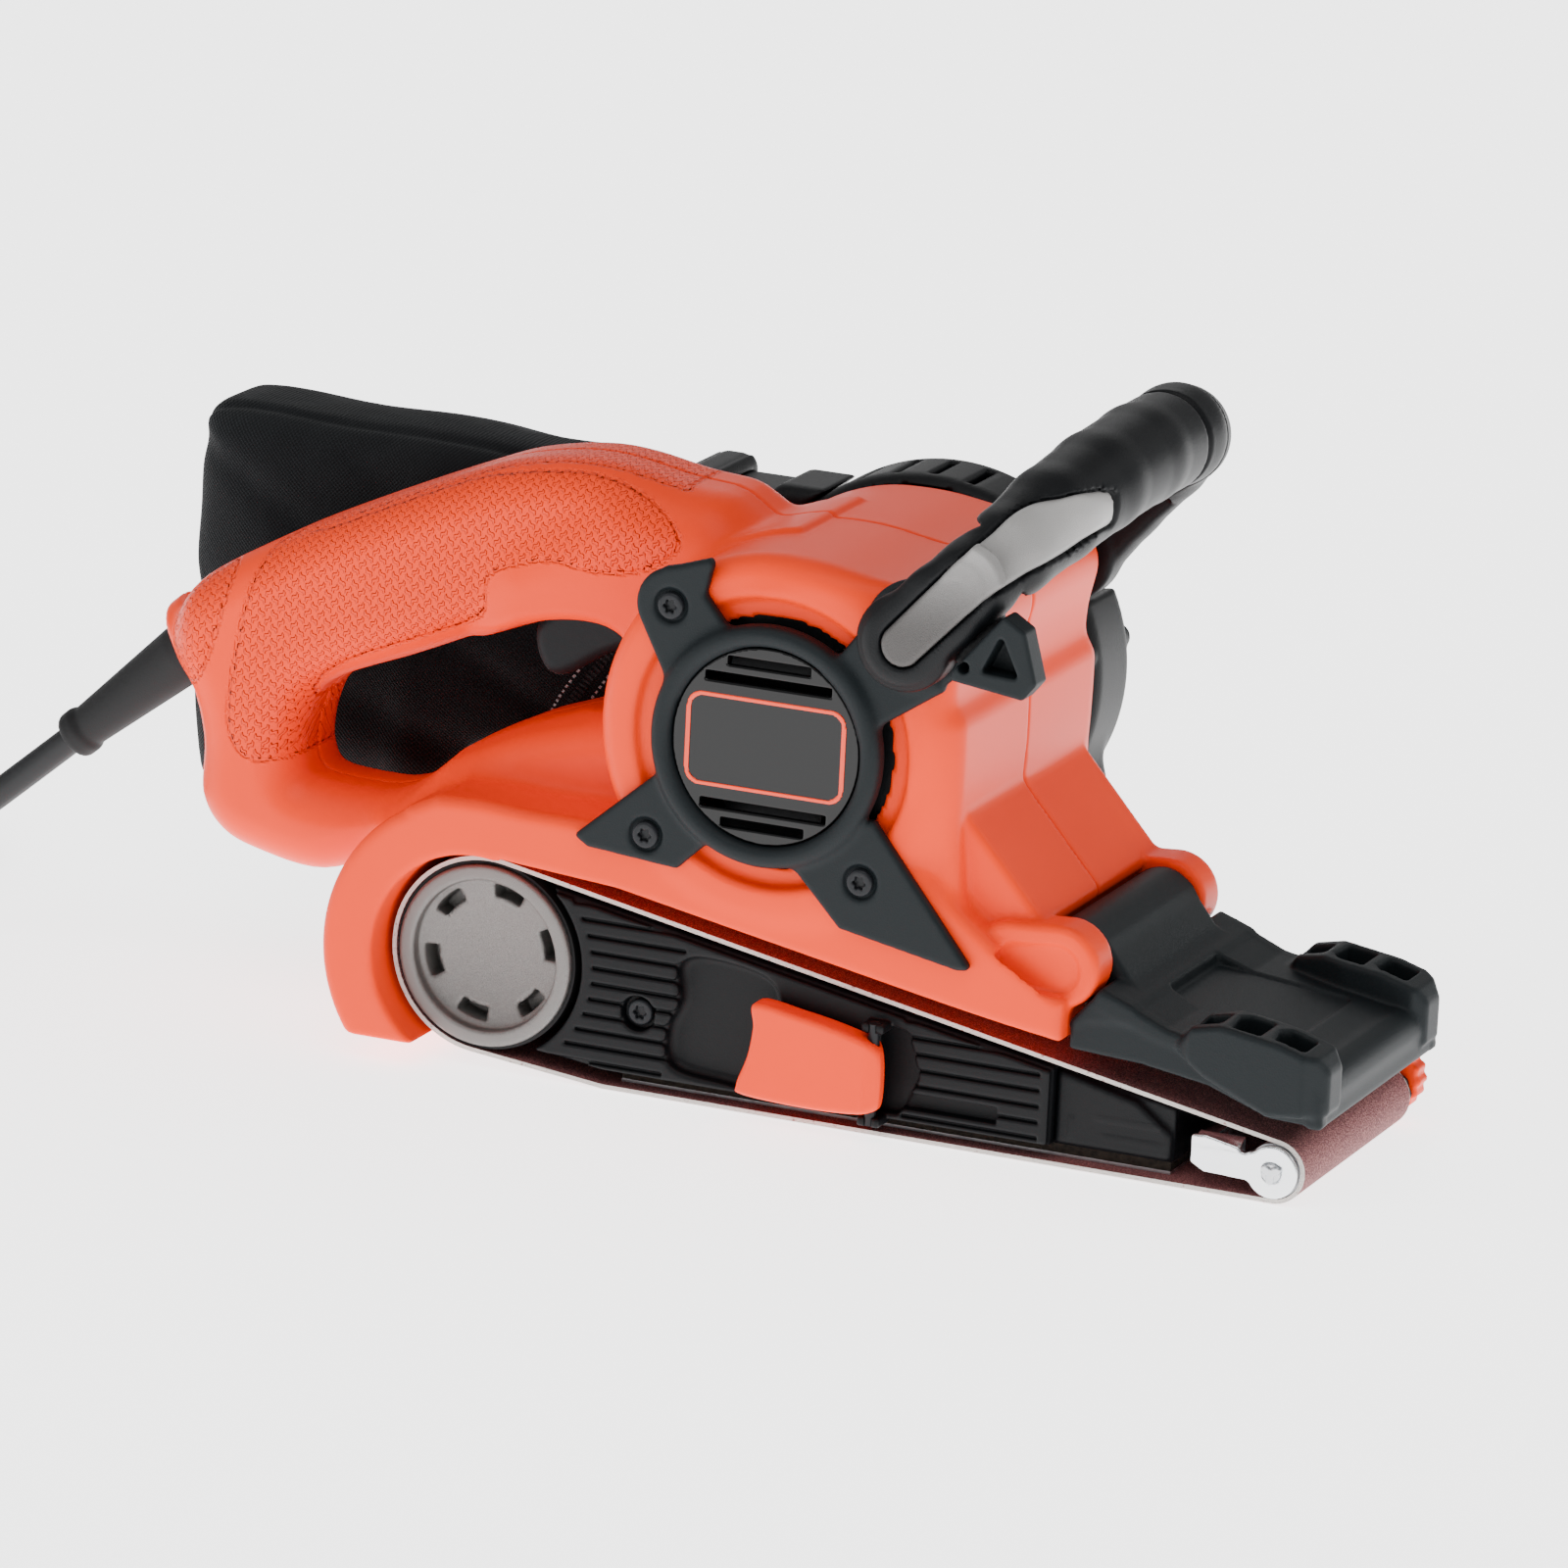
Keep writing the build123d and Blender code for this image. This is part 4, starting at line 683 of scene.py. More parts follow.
def case_field(x, y, z):
    """Both halves of the moulded case in one."""
    barrel = across(circle(x, z, MOTOR, 47.5), y, -47, 47, 6)
    shoulder = across(hull(x, z, (14, 112.4), 30, PIVOT, 11), y, -46, 47, 4)
    front = across(outline(x, z, [(0, 118), (48.5, 110), (48.5, 86.5), (52, 52), (0, 52)], 3),
                   y, -44, 47, 3.5)
    nose = across(outline(x, z, [(30, 87), (48, 87), (70.5, 62), (73.5, 42), (30, 50)], 2.5),
                  y, -38, 42, 2.0)
    guard = across(join(
        circle(x, z, DRUM, 42),
        outline(x, z, [(-99.6, 65.9), (-90, 71.3), (-45, 71), (40, 72), (62, 55.5), (80.5, 44.5),
                       (80, belt_top(80) + 7.2), (-60, 48)], 1.0), 2.0), y, -47, 47, 3.0)
    ridge = across(outline(x, z, [(-118, 52), (-99, 72.6), (-80, 81.6), (-62, 87), (-30, 92),
                                  (-30, 50)], 2.0), y, -24, 24, 7)
    wall = across(outline(x, z, [(-100, 3), (106, 3), (106, 14), (80.2, 28), (80.2, 33),
                                 (-60, 66)], 0.8), y, 40.5, 47, 0.8)
    handle = across(cut(outline(x, z, GRIP_OUTER), outline(x, z, WINDOW), 3.0),
                    y, -18.5, 18.5, 11.5)
    swell = across(outline(x, z, [(-60, 90), (-100, 98), (-92, 128), (-60, 150), (-20, 150),
                                  (-20, 90)], 14), y, -20.5, 20.5, 14)
    swell = both(swell, -outline(x, z, WINDOW), 4.0)
    body = join(join(barrel, shoulder, 7), front, 6)
    body = join(body, nose, 1.5)
    body = join(body, guard, 3.0)
    body = join(body, ridge, 6)
    handle = join(handle, swell, 5)
    body = join(body, handle, 9)
    body = join(body, wall, 0.8)
    # raised rib over the barrel's back, ears for the nose cover
    rib = both(across(np.abs(circle(x, z, MOTOR, 48.0)) - 1.0, y, -20, 20, 0.8),
               outline(x, z, [(-60, 110), (-6, 110), (-6, 152), (-60, 152)]), 1.0)
    body = join(body, rib, 2.0)
    for side in (-1, 1):
        ear = across(hull(x, z, HINGE, 10.5, (64, 52), 9.5), y, *sorted((side * 30.5, side * 42.5)),
                     2.0)
        body = join(body, ear, 1.5)
        dish = across(hull(x, z, (76.5, 51.5), 6.2, (66, 51), 5.5), y,
                      *sorted((side * 41.6, side * 46)), 0.6)
        body = cut(body, dish, 0.8)
    # room for the belt and its drum
    body = cut(body, across(circle(x, z, DRUM, 27.8), y, -60, 40.5, 0.5), 1.5)
    body = cut(body, across(outline(x, z, [
        (-72, belt_top(-72) + 3), (-40, belt_top(-40) + 6.5), (90, belt_top(90) + 7.2),
        (90, -8), (-91, -8), (-91, 5)]), y, -60, 40.5, 0.5), 1.5)
    body = cut(body, across(outline(x, z, [(-135, -30), (130, -30), (130, 5.8), (-135, 5.8)]),
                            y, -60, 40.5, 0.4), 1.2)
    body = cut(body, across(outline(x, z, [(-135, -30), (-95, -30), (-95, 5.8), (-135, 5.8)]),
                            y, 30, 60, 0.4), 1.2)
    # seat of the nose cover between the ears
    body = cut(body, across(circle(x, z, HINGE, 9.7), y, -30.5, 30.5, 0.4), 0.8)
    body = cut(body, box(x, y, z, (71, -30.5, 41), (100, 30.5, 72), 0.5), 0.8)
    # motor space, ring seat and groove
    body = np.maximum(body, -across(circle(x, z, MOTOR, 43.6), y, -43.5, 43, 1.0))
    body = np.maximum(body, -across(circle(x, z, MOTOR, 30.7), y, -60, -37, 0.5))
    body = np.maximum(body, -across(circle(x, z, MOTOR, 40), y, 30, 60, 0.5))
    body = cut(body, across(np.abs(circle(x, z, MOTOR, 33.2)) - 3.3, y, -60, -44.9, 1.0), 2.4)
    # hollow grip, trigger slot, button bore
    body = np.maximum(body, -across(outline(x, z, [
        (-168, 98), (-124, 127), (-82, 144), (-62, 146), (-48, 138), (-48, 122), (-88, 117),
        (-120, 105), (-150, 90)], 2), y, -13, 13, 2))
    body = cut(body, across(outline(x, z, [(-85, 90), (-44, 90), (-44, 124), (-60, 126),
                                           (-85, 124)], 2), y, -9.6, 9.6, 1), 1.2)
    body = cut(body, across(circle(x, z, (-70, 131), 4.7), y, 10, 40, 0.3), 0.8)
    body = np.maximum(body, -across(circle(x, z, DRUM, 16.1), y, 38, 60, 0.3))
    body = np.maximum(body, -across(circle(x, z, PIVOT, 4.05), y, -60, 60, 0.1))
    # socket of the cord sleeve
    ax, az = -33.6 / 44.515, -29.2 / 44.515
    along = (x + 181.0) * ax + (z - 87.0) * az
    wide = np.hypot(y, (x + 181.0) * -az + (z - 87.0) * ax)
    collar = both(wide - 12.5, np.abs(along + 4.5) - 3.4, 2.0)
    body = join(body, collar, 2.5)
    body = cut(body, np.maximum(wide - 8.3, np.abs(along - 8) - 12), 0.8)
    return body


def grip_marks(made):
    """Marks the textured panels of the handle, and the lines round them."""
    x, y, z = points_of(made).T
    top = outline(x, z, smooth_line([
        (-154, 118.5), (-136, 128), (-103, 143.5), (-86, 149), (-65, 151.6), (-48, 147.5),
        (-38, 139), (-46, 131), (-60, 128), (-74, 129), (-90, 123), (-92.5, 112),
        (-108, 104), (-130, 94), (-141, 84), (-141, 70), (-146, 66), (-158, 66), (-162, 80)]))
    back = outline(x, z, smooth_line([(-181, 96), (-174, 107), (-163, 114), (-169, 88),
                                      (-176, 82)]))
    over = outline(x, z, smooth_line([
        (-150, 112), (-136, 140), (-90, 165), (-50, 160), (-38, 142), (-60, 136),
        (-90, 134), (-120, 116)]))
    inner = np.minimum(np.minimum(top, back), np.where(np.abs(y) < 12, over, 9))
    paint(made, "grip", np.clip((0.6 - inner) / 1.2, 0, 1))


def make_case():
    for side, node in ((-1, "housing_left"), (1, "housing_right")):
        low_y, high_y = (-54, 1.5) if side < 0 else (-1.5, 50)
        made = carve(
            node.replace("housing", "case"),
            lambda x, y, z: both(case_field(x, y, z), side * -y + 0.02, 0.9),
            (-190, low_y, -1), (110, high_y, 158), 1.05, "housing", "grip", "orange_plastic",
            (node,))
        grip_marks(made)


# ------------------------------------------------------------------ ring and badge
def ring_field(x, y, z):
    leg = hull(x, z, COVER_SCREWS[0], 9.4, (-19, 118), 11)
    leg = join(leg, outline(x, z, [(-30, 139.4), (-17.5, 143.6), (-15.6, 140.5), (-22, 128)], 0.8),
               1.5)
    leg = cut(leg, circle(x, z, (-8.5, 137.5), 9.0), 1.0)
    plate = across(leg, y, -50, -46.6, 1.2)
    for points in (
        [(-26, 90), (-51, 68), (-47, 65.5), (-22.8, 63.5), (-12, 74)],
        [(7, 70), (21.5, 55), (53, 49.2), (57, 49.6), (29, 84)],
        [(12, 116), (24, 104), (46, 119), (31, 142)],
    ):
        plate = join(plate, across(outline(x, z, points, 1.0), y, -50, -46.6, 1.2), 1.0)
    pad = across(circle(x, z, PIVOT, 14.0), y, -49.6, -46.6, 1.0)
    rim = across(np.abs(circle(x, z, MOTOR, 28.0)) - 2.7, y, -52.5, -46, 2.4)
    body = join(join(plate, pad, 2.0), rim, 2.2)
    for at in COVER_SCREWS:
        body = cut(body, across(circle(x, z, at, 4.3), y, -60, -48.9, 0.5), 1.2)
    body = np.maximum(body, -across(circle(x, z, MOTOR, 25.15), y, -60, -40, 0.1))
    return np.maximum(body, -across(circle(x, z, PIVOT, 4.05), y, -60, -40, 0.1))


def badge_field(x, y, z):
    body = across(circle(x, z, MOTOR, 25.0), y, -50.6, -48.6, 0.4)
    for row in (-20.6, -16.2, 16.2, 20.6):
        half = (23.4**2 - row**2) ** 0.5
        body = cut(body, box(x, y, z, (-half, -60, MOTOR[1] + row - 1.1),
                             (half, -40, MOTOR[1] + row + 1.1), 0.2), 0.5)
    return body


def badge_line_field(x, y, z):
    """Rounded rectangle drawn as a thin raised line."""
    frame_line = np.abs(outline(x, z, [(-20.8, 87.1), (20.8, 87.1), (20.8, 109.7),
                                       (-20.8, 109.7)], 3.5)) - 0.62
    return across(frame_line, y, -50.85, -50.4, 0.1)


def screw_field(x, y, z, out):
    """Pan head with a six-lobed socket; out is the head's top."""
    r, a = np.hypot(x, z), np.arctan2(z, x)
    head = both(r - 3.45, np.abs(y - out - 1.0) - 1.0, 0.9)
    socket = np.maximum(r - (1.55 + 0.28 * np.cos(6 * a)), y - out - 1.4)
    return cut(head, socket, 0.3)


def make_screws():
    parts, faces, start = [], [], 0
    points, quads = nets(lambda x, y, z: screw_field(x, y, z, 0.0), (-4, -0.5, -4),
                         (4, 2.6, 4), 0.3)
    seats = [((x, -50.5, z), 1) for x, z in COVER_SCREWS] + [((x, 75.0, z), -1)
                                                             for x, z in FAR_SCREWS]
    seats.append(((-36.1, -37.0, 21.1), 1))
    for (x, y, z), way in seats:
        moved = points * np.array([1, way, 1]) + np.array([x, y, z])
        parts.append(moved)
        faces.append((quads if way > 0 else quads[:, ::-1]) + start)
        start += len(points)
    place(write_mesh("socket_screws", np.concatenate(parts), np.concatenate(faces)),
          "housing", "screw", "black_steel", ("case_screws",))


def make_ring():
    carve("ring_cover_shell", ring_field, (-54, -54, 46), (60, -45, 147), 0.7, "housing",
          "charcoal", "charcoal_plastic", ("ring_cover",))
    carve("badge_disc", badge_field, (-27, -52, 71), (27, -47.5, 126), 0.5, "housing", "gloss",
          "black_gloss", ("badge_plate",))
    carve("badge_line", badge_line_field, (-23, -51.6, 85), (23, -49.8, 112), 0.4, "housing",
          "outline", "orange_plastic")


# ------------------------------------------------------------------ belt side
def carriage(x, z, back, end, floor):
    """Profile inside the belt loop: hollow round the drum, straight above and below."""
    flat = outline(x, z, [(DRUM[0], belt_top(DRUM[0], back)), (end, belt_top(end, back)),
                          (end, floor), (-45, floor), (DRUM[0], floor + 4.0)], 0.6)
    return np.maximum(np.maximum(flat, -circle(x, z, DRUM, 26.7)), DRUM[0] + 2 - x)


def cover_field(x, y, z):
    body = across(carriage(x, z, 2.6, 75.5, 4.6), y, -36.9, -33.5, 0.5)
    face = across(carriage(x, z, 3.4, 75.0, 5.0), y, -38.5, -35, 0.5)
    quiet = outline(x, z, [(-28, 4), (35, 4), (35, 30), (30, 38), (-22, 42)])
    pitch = 4.1
    phase = np.abs((z - 2.3) / pitch - np.round((z - 2.3) / pitch)) * pitch
    groove = np.maximum(np.abs(phase) - 0.45, y + 37.3)
    edge = np.maximum(circle(x, z, DRUM, 29.6) * -1, x - 72.5)
    groove = np.maximum(np.maximum(groove, edge), 1.2 - quiet)
    face = cut(face, groove, 0.35)
    body = join(body, face, 0.5)
    body = cut(body, across(outline(x, z, smooth_line([
        (-26.5, 9), (-28, 18), (-25, 26), (-25.5, 35), (-18, 38.2), (0, 34.5), (2, 20),
        (0, 7.2), (-14, 6.8)])), y, -60, -34.6, 2.2), 1.6)
    body = cut(body, across(outline(x, z, [(28, 6.5), (35.5, 6.5), (40.5, 17), (37, 28),
                                           (28, 30)], 2), y, -60, -35, 0.6), 0.8)
    body = cut(body, across(outline(x, z, [(36, 8.2), (61.5, 8.2), (61.5, 12.6), (36, 12.6)]),
                            y, -60, -35.2, 0.3), 0.5)
    body = cut(body, across(circle(x, z, (-36.1, 21.1), 4.6), y, -60, -35, 0.3), 0.7)
    for low in (3.7, 27.9):
        body = join(body, box(x, y, z, (26.5, -43.9, low), (32.5, -36, low + 2.4), 0.6), 0.5)
    pin = np.hypot(x - LEVER_PIN[0], y - LEVER_PIN[1]) - 1.5
    return np.maximum(body, -pin)


def frame_field(x, y, z):
    """Belt frame: stepped near face in front of the side cover, open at the nose."""
    flat = carriage(x, z, 3.0, 107, 4.4)
    body = across(flat, y, -33.5, 40.5, 0.6)
    step = across(outline(x, z, [(76, 5), (106.5, 5), (106.5, 12), (97, 19), (76, 24)], 1), y,
                  -35.2, -32, 0.6)
    body = join(body, step, 0.5)
    for low, high in (((80, 7), (80.9, 13)), ((88, 8.3), (105, 9.1)), ((86, 13), (104, 13.8))):
        body = join(body, box(x, y, z, (low[0], -36.0, low[1]), (high[0], -33, high[1]), 0.3), 0.3)
    body = cut(body, across(outline(x, z, [(-42, 10), (40, 10), (40, 26), (-30, 39)], 3), y,
                            0, 60, 1), 0.8)
    arm = across(outline(x, z, [(100, 4), (134, 3), (143, 8), (141, 13.5), (100, 19)], 1), y,
                 38.4, 40.4, 0.3)
    body = join(body, arm, 0.4)
    bore = np.maximum(np.hypot(y, z - 10.2) - 4.05, 58 - x)
    body = np.maximum(body, -bore)
    return np.maximum(body, -across(circle(x, z, (135, 11.8), 3.05), y, 36, 60, 0.1))


def lever_field(x, y, z):
    """Hinged lever: proud, softly crowned face with a concave back edge."""
    plan = outline(x, y, [(-6.2, -46.4), (29, -46.8), (33.2, -45.2), (33.2, -42.5),
                          (30.5, -39.1), (-6.2, -39.1)], 0.9)
    front = smooth_line([(-1.6, 31.2), (10, 30.0), (22, 27.9), (30.5, 25.2), (33.3, 20.5),
                         (33.4, 12), (31.0, 8.0), (22, 6.6), (8, 6.4), (-4.4, 7.2),
                         (-5.6, 9.6), (-2.9, 17.4), (-1.7, 25)])
    body = both(plan, outline(x, z, front), 1.6)
    dish = np.hypot(np.hypot((x - 12) * 0.6, (z - 18) * 0.8) , y + 108) - 61.0
    body = cut(body, dish, 0.8)
    return np.maximum(body, -(np.hypot(x - LEVER_PIN[0], y - LEVER_PIN[1]) - 1.55))


def hub_field(x, y, z):
    r = np.hypot(x - DRUM[0], z - DRUM[1])
    a = np.arctan2(z - DRUM[1], x - DRUM[0])
    body = across(r - 22.2, y, -37.2, 37, 0.3)
    body = join(body, across(r - 23.6, y, -39.0, -36.6, 0.7), 0.3)
    body = cut(body, across(r - 18.8, y, 4, 60, 0.3), 0.5)
    bowl = np.hypot(r * 0.62, y + 61.0) - 28.2
    body = cut(body, np.maximum(bowl, r - 19.6), 0.9)
    sector = np.abs(np.mod(a - radians(15) + pi / 6, pi / 3) - pi / 6) * 16.5 - 4.0
    slots = np.maximum(np.maximum(np.abs(r - 16.4) - 1.7, sector), y + 28)
    body = cut(body, slots, 0.35)
    return np.maximum(body, -np.maximum(r - 5.0, -31.0 - y))


def yoke_plate_field(x, y, z):
    """Steel yoke: two cheeks, a cross bar and the stem that slides in the frame."""
    body = None
    for low, high in ((-39.4, -37.7), (36.4, 37.7)):
        cheek = join(circle(x, z, ROLLER, 6.7),
                     outline(x, z, [(113.4, 7.6), (117, 5.6), (134, 5.0), (134, 11.5),
                                    (126, 13.2), (117, 15.0), (113.4, 14.6)], 0.6), 1.0)
        notch = np.minimum(circle(x, z, (127.3, 13.6), 1.5), circle(x, z, (129.2, 14.6), 1.5))
        cheek = across(cut(cheek, notch, 0.4), y, low, high, 0.35)
        body = cheek if body is None else join(body, cheek, 0.3)
    roll = np.maximum(np.hypot(z - 10.7, (y + 35.2)) - 4.2, np.abs(x - 120.2) - 6.0)
    body = join(body, np.maximum(roll, y + 35.0), 0.6)
    body = join(body, box(x, y, z, (113, -37.7, 7.2), (117, 37.7, 13.2), 0.4), 0.6)
    stem = np.maximum(np.hypot(y, z - 10.2) - 4.0, np.abs(x - 96) - 18)
    body = join(body, stem, 0.3)
    return np.maximum(body, -circle(x, z, ROLLER, 2.5))


def axle_field(x, y, z):
    """Roller axle with its end staked into three lobes."""
    rod = np.maximum(circle(x, z, ROLLER, 2.5), np.abs(y + 1.05) - 38.75)
    a = np.arctan2(z - ROLLER[1], x - ROLLER[0])
    r = np.hypot(x - ROLLER[0], z - ROLLER[1])
    stake = np.maximum(r - (2.0 + 0.9 * np.cos(3 * (a - 0.5))), np.abs(y + 39.9) - 0.5)
    return join(rod, stake, 0.2)


def knob_field(x, y, z):
    r = np.hypot(x - 135.0, z - 11.8)
    a = np.arctan2(z - 11.8, x - 135.0)
    rim = r - (9.2 - 0.35 * (1 - np.cos(16 * a)))
    body = across(rim, y, 40.8, 47.4, 1.0)
    body = cut(body, across(np.maximum(np.abs(x - 135.0 - (z - 11.8) * 0.5) - 1.0, r - 6), y,
                            46.2, 60, 0.3), 0.4)
    return join(body, across(r - 3.0, y, 38.4, 41.5, 0.1), 0.3)


def make_belt_side():
    carve("side_cover_plate", cover_field, (-66, -45, 2), (78, -32.5, 53), 0.5, "housing",
          "black", "black_plastic", ("side_cover",))
    carve("belt_frame_casting", frame_field, (-66, -37, 2), (145, 42, 53), 0.9, "housing",
          "black", "black_plastic", ("belt_frame",))
    carve("belt_tension_lever", lever_field, (-8, -48, 4), (36, -37.5, 34), 0.4,
          "tension_lever", "orange", "orange_plastic", ("tension_lever",))
    carve("drum_hub_cap", hub_field, (-104, -41, 4), (-53, 39, 55), 0.75, "drum", "hub",
          "drum_grey", ("drum_hub",))
    carve("yoke_steel", yoke_plate_field, (76, -41, 0), (143, 39, 17), 0.45, "yoke", "zinc",
          "zinc_plate", ("roller_yoke",))
    carve("axle_steel", axle_field, (130, -42, 4), (140, 39, 13), 0.35, "yoke", "steel",
          "steel", ("roller_axle",))
    carve("tracking_wheel", knob_field, (124, 37.5, 1), (146, 48.5, 23), 0.4, "tracking_knob",
          "orange", "orange_plastic", ("tracking_knob",))


# ------------------------------------------------------------------ front handle
BAIL = [(38, -56, 132, 11.4), (47, -55.5, 142, 10.6), (53.5, -52, 148.5, 10.6),
        (59, -43, 155, 11.4), (63.5, -28, 161.5, 12.4), (66.8, -8, 166.3, 12.7),
        (68.6, 15, 168.8, 12.7), (69, 40, 169.2, 12.7), (67.5, 47.5, 167.5, 12.4),
        (62, 53.5, 160, 11.2), (50, 56, 146.8, 11), (38, 56, 132, 11.4)]


def bail_tube(x, y, z, grow=0.0):
    """Tube from the near pivot up the arm, along the crossbar and down the far arm."""
    tube = None
    for (x0, y0, z0, r0), (x1, y1, z1, r1) in zip(BAIL, BAIL[1:]):
        ex, ey, ez = x1 - x0, y1 - y0, z1 - z0
        t = np.clip(((x - x0) * ex + (y - y0) * ey + (z - z0) * ez)
                    / (ex * ex + ey * ey + ez * ez), 0, 1)
        near = np.sqrt((x - x0 - ex * t) ** 2 + (y - y0 - ey * t) ** 2
                       + (z - z0 - ez * t) ** 2) - (r0 + (r1 - r0) * t) - grow
        tube = near if tube is None else join(tube, near, 1.5)
    return tube


def handle_field(x, y, z):
    width = np.abs(y)
    tube = both(bail_tube(x, y, z), width - 60.9, 3.0)
    inner = np.maximum(hull(x, z, PIVOT, 14, (52, 149), 13), width - 50.2)
    body = cut(tube, inner, 1.5)
    boss = both(circle(x, z, PIVOT, 12.4), np.abs(width - 54.4) - 4.2, 1.5)
    body = join(body, boss, 1.0)
    for at in (32.0, 44.8):
        ring = np.maximum(np.abs(y - at) - 1.0, -bail_tube(x, y, z, -1.3))
        body = cut(body, ring, 0.9)
    seat = np.maximum(inlay_outline(x, z) - 0.5, -bail_tube(x, y, z, -1.2))
    seat = np.maximum(seat, y + 20)
    seat = np.minimum(seat, np.maximum(inlay_outline(x, z) - 0.5, y + 59.3))
    body = cut(body, seat, 0.7)
    lug = across(outline(x, z, [(49, 129), (53, 124), (60, 127), (62, 142)], 1), y, -52.2, -50, 0.5)
    body = join(body, lug, 0.8)
    return np.maximum(body, -np.maximum(circle(x, z, PIVOT, 4.1), width - 59.4))


def inlay_outline(x, z):
    """Long insert: round at the pivot, wider where it follows the elbow."""
    low = hull(x, z, (38.6, 132.0), 5.3, (55.5, 150.5), 5.6)
    high = hull(x, z, (55.5, 150.5), 5.6, (66.0, 160.5), 6.6)
    tip = hull(x, z, (66.0, 160.5), 6.6, (72.0, 163.5), 5.4)
    return join(np.minimum(low, high), tip, 2.0)


def inlay_field(x, y, z):
    skin = bail_tube(x, y, z)
    shell = both(np.maximum(skin - 0.25, -1.4 - skin), -61.2 - y, 0.6)
    thin = both(shell, inlay_outline(x, z), 0.8)
    flat = across(inlay_outline(x, z), y, -61.2, -59.2, 0.8)
    flat = np.maximum(flat, skin - 3.0)
    return np.maximum(join(thin, flat, 0.6), y + 22)


def latch_field(x, y, z):
    """Hollow wedge with a thumb pad below."""
    body = across(outline(x, z, [(51.8, 127.4), (64.8, 143.0), (70.4, 139.6), (74, 127),
                                 (70.5, 122.6), (51.6, 125.0)], 1.0), y, -60.4, -52.5, 0.9)
    body = cut(body, across(outline(x, z, [(59.5, 128.2), (64.3, 138.2), (69.4, 127.8)], 0.8),
                            y, -70, -53.8, 0.4), 0.8)
    return np.maximum(body, -circle(x, z, (55, 128.8), 1.55))


def make_front_handle():
    carve("bail_handle", handle_field, (23, -62.5, 117), (84, 62.5, 185), 0.85, "front_handle",
          "black", "black_plastic", ("front_handle",))
    carve("handle_insert", inlay_field, (31, -62.5, 125), (82, -22, 176), 0.6, "front_handle",
          "inlay", "grip_grey", ("handle_inlay",))
    carve("thumb_latch", latch_field, (50, -61.5, 121), (76, -51, 145), 0.45, "handle_latch",
          "charcoal", "black_plastic", ("handle_latch",))


# ------------------------------------------------------------------ nose cover
def nose_field(x, y, z):
    width = np.abs(y)
    barrel = across(circle(x, z, HINGE, 8.8), y, -30, 30, 1.0)
    neck = both(outline(x, z, [(77, 60.4), (84.5, 57.0), (93.5, 45.6), (93, 41.5), (85, 45.5),
                               (78, 50)], 1.0), width - 30, 1.5)
    body = join(barrel, neck, 1.5)
    deck = outline(x, z, [(88, 48.5), (98, 44.0), (106, 40.6), (132, 36.2), (142, 34.2),
                          (147.0, 28.5), (147.6, 21.8), (144.2, 21.4), (142.5, 27.5), (134, 31.5),
                          (103, 38.0), (88, 43.8)], 0.7)
    body = join(body, both(deck, width - 41.5, 1.2), 1.2)
    side = outline(x, z, [(80.9, 31.8), (80.9, 38), (88, 46.5), (92, 45.8), (106, 40), (136, 34),
                          (145, 31), (147.5, 22), (133.6, 22.5), (117.5, 28.2), (100, 30.8)], 0.8)
    wall = both(side, np.abs(width - 40.1) - 1.5, 0.8)
    body = join(body, wall, 1.5)
    shelf = both(outline(x, z, [(80.9, 38), (88, 47), (97, 44.5), (97, 41), (85, 40)], 0.8),
                 width - 41.5, 1.5)
    body = join(body, shelf, 2.0)
    body = np.maximum(body, -(both(circle(x, z, HINGE, 11.4), 30.3 - width, 0.4)))
    # rolled front edge between the pods
    roll = across(circle(x, z, (142.6, 29.4), 4.6), y, -30, 30, 1.5)
    body = join(body, roll, 2.0)
    # shallow panel pressed into the deck
    panel = outline(x, y, [(97, -17), (131, -23.5), (131, 23.5), (97, 17)], 2.0)
    deck_z = 40.6 - (x - 106) * 0.1692
    body = cut(body, both(panel, deck_z - 0.75 - z, 0.3), 0.8)
    # three-pocket pods at both corners
    pod_side = outline(x, z, [(108.5, 37), (113.5, 43.2), (121, 44.8), (136, 42.6), (146, 39.6),
                              (148.8, 35.5), (148.8, 25), (134, 23.6), (117, 31)], 1.0)
    plan = outline(x, y, [(107, -41.2), (113, -45), (143, -45), (148.9, -39.5), (148.9, -31),
                          (145, -28), (126, -27.2), (113, -29), (107, -35)], 1.5)
    plan = np.minimum(plan, outline(x, -y, [(107, -41.2), (113, -45), (143, -45), (148.9, -39.5),
                                            (148.9, -31), (145, -28), (126, -27.2), (113, -29),
                                            (107, -35)], 1.5))
    pod = both(pod_side, plan, 1.4)
    body = join(body, pod, 1.2)
    under = outline(x, z, [(112, 10), (112, 33), (118, 34.0), (134, 30.4), (143.4, 27.4),
                           (144.6, 22.5), (144.6, 10)], 0.5)
    body = np.maximum(body, -both(under, width - 38.7, 0.4))
    for x_low, x_high, near, far in ((112.3, 119.8, 41.0, 32.0), (122.2, 130.6, 42.4, 30.4),
                                     (133.0, 142.0, 41.6, 31.4)):
        pocket = outline(x, width, [(x_low, far + 2.5), (x_low + 2, far), (x_high, far),
                                    (x_high, near), (x_low + 1, near)], 1.0)
        floor_z = 37.2 - (x - 113) * 0.14
        body = cut(body, both(pocket, floor_z - z, 0.5), 0.7)
    return np.maximum(body, -circle(x, z, HINGE, 2.55))


def make_nose_cover():
    carve("nose_guard", nose_field, (66, -46.5, 18), (151, 46.5, 63), 0.75, "nose_cover",
          "charcoal", "charcoal_plastic", ("nose_cover",))


